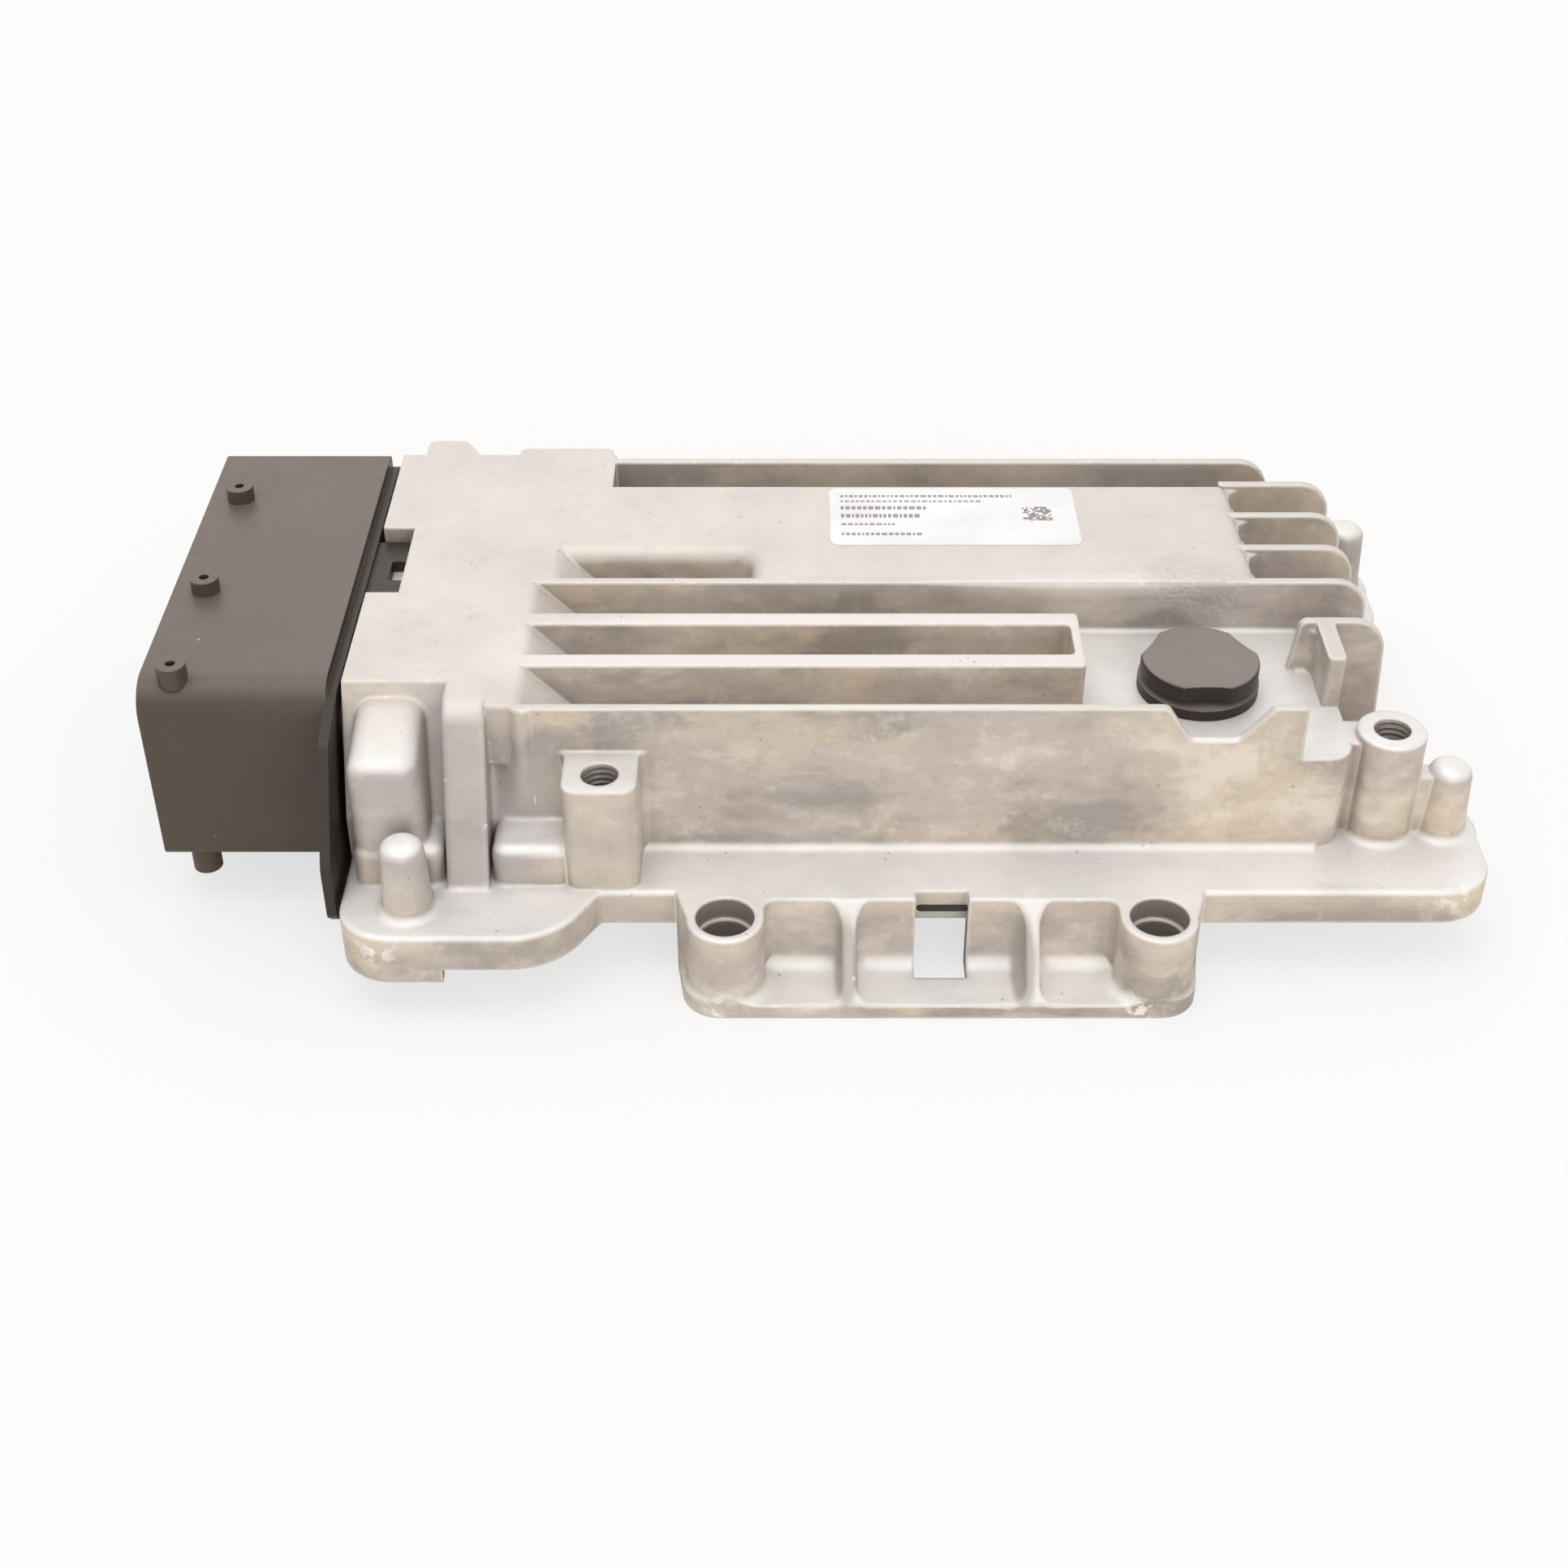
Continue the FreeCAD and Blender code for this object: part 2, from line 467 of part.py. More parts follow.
chip_cap_pitch = size("chip_cap_pitch", 5.0, "ceramic capacitor pitch")
chip_cap_length = size("chip_cap_length", 3.2, "ceramic capacitor length")
chip_cap_width = size("chip_cap_width", 1.6, "ceramic capacitor width")
chip_cap_height = size("chip_cap_height", 1.5, "ceramic capacitor height")
chip_cap_count = 8
resistor_left = size("resistor_left", 52.0, "origin to the first chip resistor")
resistor_depth = size("resistor_depth", 30.0, "chip resistors along Y")
resistor_pitch = size("resistor_pitch", 4.2, "chip resistor pitch")
resistor_length = size("resistor_length", 2.0, "chip resistor length")
resistor_width = size("resistor_width", 1.25, "chip resistor width")
resistor_height = size("resistor_height", 0.6, "chip resistor height")
resistor_count = 10

doc.recompute()

# Plane name: turn of the sketch, axis across it and that axis as a vector
PLANES = {
    "XY": (Rotation(), "z", Vector(0, 0, 1)),
    "XZ": (Rotation(Vector(1, 0, 0), 90), "y", Vector(0, 1, 0)),
    "YZ": (Rotation(Vector(1, 1, 1), 120), "x", Vector(1, 0, 0)),
}
START, END = range(1, 3)

# Legs of a cove strip against its radius
COVE_LEG = 1.3


def bind(item, prop, value):
    """Ties one property to the sheet."""
    item.setExpression(prop, text_of(value))


def unit(start, end):
    """The direction from one corner to another."""
    step = end - start
    return step / step.Length


def place_point(rules, bindings, geometry, position, spot):
    """Two rules that hold a point at a place given by sizes."""
    for kind, value in (("DistanceX", spot[0]), ("DistanceY", spot[1])):
        bindings.append((len(rules), value))
        rules.append(Sketcher.Constraint(kind, -1, 1, geometry, position, float(number_of(value))))


def draw_outline(sketch, corners):
    """A closed outline through corners (across, up) or (across, up, radius), fully constrained."""
    count = len(corners)
    points = [Vector(number_of(item[0]), number_of(item[1]), 0) for item in corners]
    arrivals, departures, arcs = [], [], []
    for index, corner in enumerate(corners):
        here = points[index]
        if len(corner) < 3:
            arrivals.append(here)
            departures.append(here)
            arcs.append(None)
            continue
        radius = number_of(corner[2])
        back = unit(here, points[index - 1])
        ahead = unit(here, points[(index + 1) % count])
        half = back.getAngle(ahead) / 2
        reach = radius / math.tan(half)
        middle = here + (back + ahead).normalize() * (radius / math.sin(half))
        arrive = here + back * reach
        depart = here + ahead * reach
        turns_left = (back.cross(ahead)).z < 0
        first, last = (arrive, depart) if turns_left else (depart, arrive)
        angles = [math.atan2(end.y - middle.y, end.x - middle.x) for end in (first, last)]
        if angles[1] < angles[0]:
            angles[1] += 2 * math.pi
        circle = Part.Circle(middle, Vector(0, 0, 1), radius)
        arcs.append((Part.ArcOfCircle(circle, angles[0], angles[1]), turns_left))
        arrivals.append(arrive)
        departures.append(depart)
    lines = []
    for index in range(count):
        edge = Part.LineSegment(departures[index], arrivals[(index + 1) % count])
        lines.append(sketch.addGeometry(edge, False))
    rules, bindings = [], []
    for index, corner in enumerate(corners):
        line_in = lines[index - 1]
        line_out = lines[index]
        if arcs[index] is None:
            rules.append(Sketcher.Constraint("Coincident", line_in, END, line_out, START))
            place_point(rules, bindings, line_out, START, corner)
            continue
        arc, turns_left = arcs[index]
        arc_id = sketch.addGeometry(arc, False)
        first, last = (START, END) if turns_left else (END, START)
        rules.append(Sketcher.Constraint("Tangent", line_in, END, arc_id, first))
        rules.append(Sketcher.Constraint("Tangent", line_out, START, arc_id, last))
        bindings.append((len(rules), corner[2]))
        rules.append(Sketcher.Constraint("Radius", arc_id, float(number_of(corner[2]))))
        mark = sketch.addGeometry(Part.Point(points[index]), True)
        place_point(rules, bindings, mark, START, corner)
        rules.append(Sketcher.Constraint("PointOnObject", mark, START, line_in))
        rules.append(Sketcher.Constraint("PointOnObject", mark, START, line_out))
    first_rule = sketch.ConstraintCount
    sketch.addConstraint(rules)
    for rule, value in bindings:
        if isinstance(value, Size):
            bind(sketch, f"Constraints[{first_rule + rule}]", value)


def draw_circle(sketch, spot, radius):
    """A circle held by its centre and radius."""
    centre = Vector(number_of(spot[0]), number_of(spot[1]), 0)
    circle = sketch.addGeometry(Part.Circle(centre, Vector(0, 0, 1), number_of(radius)), False)
    rules, bindings = [], []
    place_point(rules, bindings, circle, 3, spot)
    bindings.append((len(rules), radius))
    rules.append(Sketcher.Constraint("Radius", circle, float(number_of(radius))))
    first_rule = sketch.ConstraintCount
    sketch.addConstraint(rules)
    for rule, value in bindings:
        if isinstance(value, Size):
            bind(sketch, f"Constraints[{first_rule + rule}]", value)


def free_sketch(name, plane, offset=0):
    """A sketch of its own, parallel to a main plane."""
    turn, axis, _ = PLANES[plane]
    sketch = doc.addObject("Sketcher::SketchObject", name)
    sketch.Placement = Placement(Vector(), turn)
    bind(sketch, f"Placement.Base.{axis}", offset)
    return sketch


def prism(name, plane, corners, span, taper=None):
    """An outline drawn on a plane at span[0] and run to span[1]."""
    sketch = free_sketch(f"{name}_outline", plane, span[0])
    draw_outline(sketch, corners)
    solid = doc.addObject("Part::Extrusion", name)
    solid.Base = sketch
    solid.DirMode = "Custom"
    solid.Dir = PLANES[plane][2]
    solid.Solid = True
    bind(solid, "LengthFwd", span[1] - span[0])
    if taper is not None:
        solid.TaperAngle = taper
    return solid


def box(name, across, depth, height):
    """A block between two places on each axis."""
    solid = doc.addObject("Part::Box", name)
    for prop, axis, span in (("Length", "x", across), ("Width", "y", depth), ("Height", "z", height)):
        bind(solid, prop, span[1] - span[0])
        bind(solid, f"Placement.Base.{axis}", span[0])
    return solid


def post(name, spot, radius, height, tip_radius=None):
    """An upright cylinder, or a cone when its tip has another radius."""
    kind = "Part::Cylinder" if tip_radius is None else "Part::Cone"
    solid = doc.addObject(kind, name)
    if tip_radius is None:
        bind(solid, "Radius", radius)
    else:
        bind(solid, "Radius1", radius)
        bind(solid, "Radius2", tip_radius)
    bind(solid, "Height", height[1] - height[0])
    for axis, value in (("x", spot[0]), ("y", spot[1]), ("z", height[0])):
        bind(solid, f"Placement.Base.{axis}", value)
    return solid


def fuse(name, solids):
    """One solid from several."""
    joined = doc.addObject("Part::MultiFuse", name)
    joined.Shapes = solids
    joined.Refine = True
    return joined


def group(name, solids):
    """Separate solids kept together as one node."""
    gathered = doc.addObject("Part::Compound", name)
    gathered.Links = solids
    return gathered


def cut(name, base, tools):
    """A solid less one or more tools."""
    result = doc.addObject("Part::Cut", name)
    result.Base = base
    result.Tool = tools[0] if len(tools) == 1 else fuse(f"{name}_tools", tools)
    result.Refine = True
    return result


def round_edges(name, base, radius, wanted):
    """Rounds the edges of a solid that the test picks out."""
    doc.recompute()
    picked = []
    for number, edge in enumerate(base.Shape.Edges, 1):
        if wanted(edge):
            picked.append((number, number_of(radius), number_of(radius)))
    rounded = doc.addObject("Part::Fillet", name)
    rounded.Base = base
    rounded.Edges = picked
    return rounded


def at_height(level):
    """Picks edges that lie flat at one height."""
    height = number_of(level)
    return lambda edge: all(abs(item.Point.z - height) < 1e-4 for item in edge.Vertexes)


def rectangle(left, right, front, back, radius=None):
    """The corners of a rectangle, all with the same radius if one is given."""
    tail = () if radius is None else (radius,)
    return [(left, front) + tail, (right, front) + tail, (right, back) + tail, (left, back) + tail]


def turned(name, spot, corners):
    """A profile (radius, height) turned about an upright axis at a spot."""
    sketch = free_sketch(f"{name}_profile", "XZ")
    draw_outline(sketch, corners)
    solid = doc.addObject("Part::Revolution", name)
    solid.Source = sketch
    solid.Axis = Vector(0, 0, 1)
    solid.Angle = 360
    solid.Solid = True
    for axis, value in (("x", spot[0]), ("y", spot[1])):
        bind(solid, f"Placement.Base.{axis}", value)
    return solid


def loft(name, plane, sections, ruled):
    """A solid through outlines (offset, corners) on parallel planes."""
    sketches = []
    for index, (offset, corners) in enumerate(sections, 1):
        sketch = free_sketch(f"{name}_section_{index}", plane, offset)
        draw_outline(sketch, corners)
        sketches.append(sketch)
    solid = doc.addObject("Part::Loft", name)
    solid.Sections = sketches
    solid.Solid = True
    solid.Ruled = ruled
    return solid


def common(name, solids):
    """What several solids share."""
    shared = doc.addObject("Part::MultiCommon", name)
    shared.Shapes = solids
    shared.Refine = True
    return shared


def hollow_corner(corner, away, radius, leg):
    """An angle whose inner corner is rounded; the open side of each wall is given by the signs in away."""
    across, up = corner
    step_across, step_up = away
    back = leg / 3
    return [
        (across + step_across * leg, up), (across, up, radius), (across, up + step_up * leg),
        (across - step_across * back, up + step_up * leg), (across - step_across * back, up - step_up * back),
        (across + step_across * leg, up - step_up * back),
    ]


def cove(name, plane, corner, away, radius, span):
    """A strip with a hollow rounding: it fills an inner corner, or cuts an outer one round."""
    return prism(name, plane, hollow_corner(corner, away, radius, radius * COVE_LEG), span)


# Places shared by several pieces
rear_stud_depth = flange_back + back_lobe_reach - rear_stud_inset
stud_spots = {
    "front_left": (end_face + front_stud_inset, flange_front - front_stud_depth),
    "front_right": (flange_reach - right_stud_inset, right_stud_depth),
    "back_right": (flange_reach - rear_lobe_inset - rear_right_inset, rear_stud_depth),
    "back_left": (end_face + rear_left_inset, rear_stud_depth),
}
bracket_spots = {"left": (-bore_spacing / 2, 0), "right": (bore_spacing / 2, 0)}
square_boss_spot = (square_boss_width / 2 - square_boss_left, flange_front + square_boss_bore)
round_boss_spot = (round_boss_place, round_boss_depth)
vent_spot = (vent_place, vent_depth)
cavity_left = end_face + end_wall
cavity_right = chamber_reach - wall
cavity_back = back_face - wall
cavity_corner = chamber_corner - cavity_corner_step
pedestal_level = board_top + transistor_height + thermal_pad_thick
cover_top = seat_level - gasket_thick
cover_base = cover_top - cover_thick
window_left = window_shift - window_width / 2
window_right = window_shift + window_width / 2


def flange_outline(level, name):
    """The outline that the flange, the rim, the cover and the gasket share."""
    lobe_front = flange_front - front_lobe_reach
    lobe_right = end_face + front_lobe_width
    back_left_end = end_face + back_lobe_width
    rear_right = flange_reach - rear_lobe_inset
    back_right_start = rear_right - back_lobe_width
    waist = flange_reach - waist_depth
    corners = [
        (end_face, lobe_front, flange_corner),
        (lobe_right - front_lobe_slope, lobe_front, front_lobe_round),
        (lobe_right, flange_front, lobe_blend / 2),
        (flange_reach, flange_front, flange_corner),
        (flange_reach, waist_front, flange_corner),
        (waist, waist_front + waist_slope, flange_corner),
        (waist, waist_back - waist_slope, flange_corner),
        (rear_right, waist_back, flange_corner),
        (rear_right, flange_back + back_lobe_reach, flange_corner),
        (back_right_start, flange_back + back_lobe_reach, lobe_blend),
        (back_right_start - back_lobe_reach, flange_back, lobe_blend),
        (back_left_end + back_lobe_reach, flange_back, lobe_blend),
        (back_left_end, flange_back + back_lobe_reach, lobe_blend),
        (end_face, flange_back + back_lobe_reach, flange_corner / 2),
    ]
    sketch = free_sketch(name, "XY", level)
    draw_outline(sketch, corners)
    return sketch


def run_up(name, sketch, length):
    """A flat outline run upwards."""
    solid = doc.addObject("Part::Extrusion", name)
    solid.Base = sketch
    solid.DirMode = "Custom"
    solid.Dir = Vector(0, 0, 1)
    solid.Solid = True
    bind(solid, "LengthFwd", length)
    return solid


def inset(name, sketch, distance):
    """The same outline, set in by a distance."""
    smaller = doc.addObject("Part::Offset2D", name)
    smaller.Source = sketch
    smaller.Join = "Intersection"
    bind(smaller, "Value", -distance)
    return smaller


def housing_flange():
    """The flange with its rim and the deeper foot under the left lobe."""
    outline = flange_outline(rim_base, "flange_outline")
    slab = run_up("flange_slab", outline, rim_depth + flange_thick)
    slab = round_edges("flange_slab_rounded", slab, flange_edge, at_height(flange_top))
    recess_outline = inset("cover_recess_outline", outline, rim_width)
    recess = run_up("cover_recess", recess_outline, rim_depth)
    flange = cut("flange", slab, [recess])
    foot_outline = flange_outline(rim_base - foot_drop, "foot_outline")
    foot_slab = run_up("foot_slab", foot_outline, foot_drop + rim_depth)
    foot_opening = inset("foot_inner_outline", foot_outline, rim_width)
    foot_inner = run_up("foot_inner", foot_opening, foot_drop + rim_depth)
    foot_ring = cut("foot_ring", foot_slab, [foot_inner])
    foot_zone = box(
        "foot_zone",
        (end_face - 1, end_face + foot_width),
        (flange_front - front_lobe_reach - 1, flange_front),
        (rim_base - foot_drop, seat_level),
    )
    foot = doc.addObject("Part::Common", "foot")
    foot.Base = foot_ring
    foot.Tool = foot_zone
    return [flange, foot]


def at_bay_corner(web_front, floor):
    """Picks the edges of a bracket bay that lie on its floor or stand against its web."""
    back = number_of(web_front)
    bottom = number_of(floor)

    def wanted(edge):
        ends = [item.Point for item in edge.Vertexes]
        on_floor = all(abs(point.z - bottom) < 1e-4 for point in ends)
        at_back = all(abs(point.y - back) < 1e-4 for point in ends)
        upright = abs(ends[0].z - ends[-1].z) > 1e-4
        along_front = on_floor and all(point.y < back - 1e-4 for point in ends)
        return (on_floor and not along_front) or (at_back and upright)

    return wanted


def cove_ring(name, spot, radius, floor, hollow):
    """A hollow rounding round the foot of a boss."""
    return turned(name, spot, hollow_corner((radius, floor), (1, 1), hollow, hollow * COVE_LEG))


def housing_bracket():
    """Two bored bosses on a thin shelf, with hollowed bays and two gussets between them."""
    half = bore_spacing / 2
    shelf_front = -bracket_boss_radius
    side = half + bracket_boss_radius
    web_front = flange_front - bracket_web_reach
    web_back = flange_front + rim_width
    shelf = prism(
        "bracket_shelf", "XY",
        [(-side, shelf_front, bracket_corner), (side, shelf_front, bracket_corner),
         (side + bracket_flare, flange_front), (side + bracket_flare, web_back),
         (-side - bracket_flare, web_back), (-side - bracket_flare, flange_front)],
        (0, shelf_thick),
    )
    wedge = prism(
        "bracket_wedge", "YZ",
        [(shelf_front, 0), (web_back, 0), (web_back, flange_top), (web_front, flange_top, flange_edge),
         (shelf_front, shelf_thick)],
        (-half, half),
    )
    gusset_places = [-gusset_spacing / 2, gusset_spacing / 2]
    starts = [-half] + [place + gusset_thick / 2 for place in gusset_places]
    ends = [place - gusset_thick / 2 for place in gusset_places] + [half]
    bays = []
    for index, (left, right) in enumerate(zip(starts, ends), 1):
        bay = box(f"bracket_bay_{index}", (left, right), (shelf_front * 3, web_front),
                  (shelf_thick, flange_top * 2))
        inner = at_bay_corner(web_front, shelf_thick)
        bays.append(round_edges(f"bracket_bay_{index}_rounded", bay, bracket_cove, inner))
    solids = [shelf, cut("bracket_ribs", wedge, bays)]
    for name, (across, depth) in bracket_spots.items():
        solids.append(turned(f"bracket_boss_{name}", (across, depth), [
            (0, 0), (bracket_boss_radius, 0), (bracket_boss_radius, flange_top, flange_edge / 2),
            (0, flange_top),
        ]))
        outward = -1 if name == "left" else 1
        outer = across + bracket_boss_radius * outward
        inner_side = across - bracket_boss_radius * outward
        flared = outer + bracket_flare * outward
        spread = inner_side - boss_cove * 1.5 * outward
        solids.append(prism(f"bracket_neck_{name}", "XY", [
            (outer, 0), (flared, flange_front), (flared, web_back), (spread, web_back), (spread, web_front),
            (inner_side, web_front, boss_cove), (inner_side, 0),
        ], (0, flange_top)))
        foot = cove_ring(f"bracket_foot_{name}", (across, depth), bracket_boss_radius, shelf_thick, boss_cove)
        zone = run_up(f"bracket_foot_zone_{name}", shelf.Base, flange_top)
        solids.append(common(f"bracket_foot_kept_{name}", [foot, zone]))
    return solids


def housing_chamber():
    """The chamber under the roof, without its left end."""
    start = 1 - square_boss_left
    wall_back = front_face + deck_step + thin_rib
    body = prism(
        "chamber", "XY",
        [(start, front_face), (chamber_reach, front_face, chamber_corner),
         (chamber_reach, back_face, chamber_corner), (start, back_face)],
        (seat_level, roof_top),
    )
    filler = box("chamber_left", (-channel_left - ramp_round * 2, start + 1), (wall_back, back_face),
                 (seat_level, roof_top))
    foot = cove("front_wall_foot", "YZ", (front_face, flange_top), (-1, 1), cast_cove,
                (square_boss_width - square_boss_left, chamber_reach - chamber_corner))
    return [body, filler, foot]


def front_apron(edge):
    """The section of the front wall beside the deck: upright above, leaning below."""
    lean_top = deck_top - draft_level
    lean_foot = flange_top + ledge_rise
    inner = end_wall_foot + end_wall / 2
    return [
        (edge, deck_top), (edge, lean_top), (end_wall_foot, lean_foot), (end_wall_foot, seat_level),
        (inner, seat_level), (inner, lean_foot), (edge + thin_rib, lean_top), (edge + thin_rib, deck_top),
    ]


def ledge(name, left, right):
    """A low rounded step at the foot of the front wall."""
    back = end_wall_foot + end_wall / 2
    step = prism(
        name, "XY",
        [(left, ledge_front, ledge_round), (right, ledge_front, ledge_round), (right, back), (left, back)],
        (seat_level, flange_top + ledge_rise),
    )
    front = number_of(end_wall_foot)

    def near_front(edge):
        at_top = at_height(flange_top + ledge_rise)(edge)
        return at_top and any(item.Point.y < front for item in edge.Vertexes)

    return round_edges(f"{name}_rounded", step, ledge_round * 0.9, near_front)


def front_block():
    """The rounded block at the left of the front wall."""
    left = end_face + block_left
    right = left + block_width
    top = deck_top - block_drop
    foot = flange_top - cast_cove
    back = end_wall_top + end_wall / 2
    side = prism(
        "block_side", "YZ",
        [(block_front, foot), (back, foot), (back, top), (end_wall_top - block_slope, top),
         (block_front + block_lean, top - block_slope)],
        (left - 1, right + block_spread + 1),
    )
    front = prism(
        "block_face", "XZ", [(left, foot), (right + block_spread, foot), (right, top), (left, top)],
        (block_front - 1, back + 1),
    )
    block = common("block_sharp", [side, front])
    low, far = number_of(foot), number_of(back)

    def shown(edge):
        ends = [item.Point for item in edge.Vertexes]
        at_foot = all(abs(point.z - low) < 1e-4 for point in ends)
        at_back = all(abs(point.y - far) < 1e-4 for point in ends)
        return not (at_foot or at_back)

    return round_edges("front_block", block, block_round, shown)


def housing_left_deck():
    """The high left end: leaning front walls, ledges, pilaster, block, column and back pad."""
    lean_right = end_face + end_wall_width
    pilaster_right = lean_right + pilaster_width
    behind = front_face + deck_step
    lean_foot = (end_wall_foot, flange_top + ledge_rise)
    boss_side = 1 - square_boss_left
    apron_end = deck_step_start - deck_step_end * 2
    column_left = end_face + deck_bump_left
    column_right = column_left + deck_bump_width
    column_front = back_face - wall
    return [
        prism("deck_left", "YZ",
              [(end_wall_top, deck_top), lean_foot, (end_wall_foot, seat_level), (back_face, seat_level),
               (back_face, deck_top)],
              (end_face, lean_right)),
        prism("deck_middle", "YZ",
              [(behind, deck_top), (behind, deck_top - draft_level), lean_foot, (end_wall_foot, seat_level),
               (back_face, seat_level), (back_face, deck_top)],
              (lean_right, -channel_left - ramp_round)),
        loft("deck_apron", "YZ",
             [(pilaster_right - 1, front_apron(behind)), (-deck_step_start, front_apron(behind)),
              (-deck_step_end, front_apron(front_face)), (apron_end, front_apron(front_face))],
             False),
        prism("deck_apron_end", "YZ", front_apron(front_face), (apron_end, boss_side)),
        prism("pilaster", "YZ",
              [(pilaster_foot, seat_level), (end_wall_top, seat_level), (end_wall_top, deck_top),
               (behind - pilaster_reach, deck_top, pilaster_round), (pilaster_foot, flange_top)],
              (lean_right, pilaster_right)),
        ledge("ledge_left", end_face + block_left, lean_right - ledge_gap),
        ledge("ledge_right", pilaster_right + ledge_gap, boss_side),
        front_block(),
        prism("deck_column", "XY",
              [(column_left, column_front), (column_right + wall, column_front),
               (column_right + wall, back_face), (column_right, back_face + deck_bump_reach, cast_cove),
               (column_left, back_face + deck_bump_reach, cast_cove)],
              (seat_level, deck_top)),
        prism("back_pad", "XY",
              [(-back_pad_left, column_front), (-back_pad_right, column_front),
               (-back_pad_right, back_face + back_pad_reach, cast_cove),
               (-back_pad_left, back_face + back_pad_reach, cast_cove)],
              (seat_level, deck_top)),
    ]


def rib_foot(name, depth, side, span):
    """The hollow rounding between one face of a rib and the roof."""
    return cove(name, "YZ", (depth, roof_top), (side, 1), rib_cove, span)


def housing_ribs():
    """The front wall top and the ribs on the roof, each with a rounded foot."""
    overlap = wall / 2
    rib_floor = roof_top - overlap
    left = -channel_left - ramp_round * 2
    front_wall_top = deck_top - notch_depth
    channel = (-channel_left, thick_rib_end - thin_rib)
    solids = [
        prism("front_rib", "XZ",
              [(-deck_step_end, rib_floor), (front_wall_end, rib_floor),
               (front_wall_end, deck_top, thin_rib / 2), (notch_right, deck_top, thin_rib / 2),
               (notch_floor_right, front_wall_top, cast_cove), (notch_floor_left, front_wall_top, cast_cove),
               (notch_left, deck_top, cast_cove), (-deck_step_end, deck_top)],
              (front_face, front_rib_back)),
        box("rib_one", (left, plateau_right), (rib_one, rib_one + thin_rib), (rib_floor, deck_top)),
        prism("rib_end", "XY",
              [(thick_rib_end - thick_rib, rib_three), (thick_rib_end, rib_three, thin_rib / 2),
               (thick_rib_end, rib_two + thick_rib, thin_rib / 2),
               (thick_rib_end - thick_rib, rib_two + thick_rib), (thick_rib_end - thick_rib, rib_two),
               (thick_rib_end - thin_rib, rib_two, rib_cove),
               (thick_rib_end - thin_rib, rib_three + thick_rib, rib_cove),
               (thick_rib_end - thick_rib, rib_three + thick_rib)],
              (rib_floor, deck_top)),
        rib_foot("front_rib_foot", front_rib_back, 1, (-channel_left, front_wall_end)),
        rib_foot("plateau_foot", rib_one, -1, (-channel_left, chamber_reach - wall)),
    ]
    for name, front in (("rib_three", rib_three), ("rib_two", rib_two)):
        solids.append(box(name, (left, thick_rib_end - thin_rib), (front, front + thick_rib),
                          (rib_floor, deck_top)))
        solids.append(rib_foot(f"{name}_front_foot", front, -1, channel))
        solids.append(rib_foot(f"{name}_back_foot", front + thick_rib, 1, channel))
    return solids


def housing_plateau():
    """The plateau with its rounded front edge, and the pocket let into it."""
    left = -channel_left - ramp_round * 2
    rib_floor = roof_top - wall / 2
    pocket_front = rib_one + thin_rib
    pocket_back = pocket_front + pocket_width
    corner = cast_cove * 2
    leg = plateau_round * COVE_LEG
    block = prism(
        "plateau", "XZ",
        [(left, rib_floor), (plateau_right, rib_floor), (plateau_right, deck_top, fin_cove),
         (left, deck_top)],
        (rib_one, plateau_back),
    )
    above = deck_top + plateau_round
    pocket_cut = prism(
        "pocket", "XY",
        [(-pocket_left - wall, pocket_front), (-pocket_right, pocket_front),
         (-pocket_right, pocket_back, corner), (-pocket_left - wall, pocket_back)],
        (roof_top, above),
    )
    pocket_ramp = ramp("ramp_pocket", pocket_left, (pocket_front - thin_rib / 2, pocket_back + corner))
    flares = [
        cove("pocket_back_edge", "YZ", (pocket_back, deck_top), (1, -1), plateau_round,
             (-pocket_left, -pocket_right - corner)),
        cove("pocket_right_edge", "XZ", (-pocket_right, deck_top), (1, -1), plateau_round,
             (pocket_front, pocket_back - corner)),
        turned("pocket_corner_edge", (-pocket_right - corner, pocket_back - corner),
               hollow_corner((corner, deck_top), (1, -1), plateau_round, leg)),
    ]
    start, end = -plateau_edge_left, plateau_edge_right
    sections = [
        (place, hollow_corner((rib_one, deck_top), (1, -1), radius, leg))
        for place, radius in ((start - plateau_run_out, plateau_round / 8), (start, plateau_round),
                              (end, plateau_round), (end + plateau_run_out, plateau_round / 8))
    ]
    front_edge = loft("plateau_front_edge", "YZ", sections, True)
    shaped = cut("plateau_shaped", block, [pocket_cut, front_edge] + flares)
    deck_end = box("deck_end", (left, -pocket_left), (pocket_front, plateau_back),
                   (rib_floor, roof_top + wall / 2))
    return [shaped, pocket_ramp, deck_end]


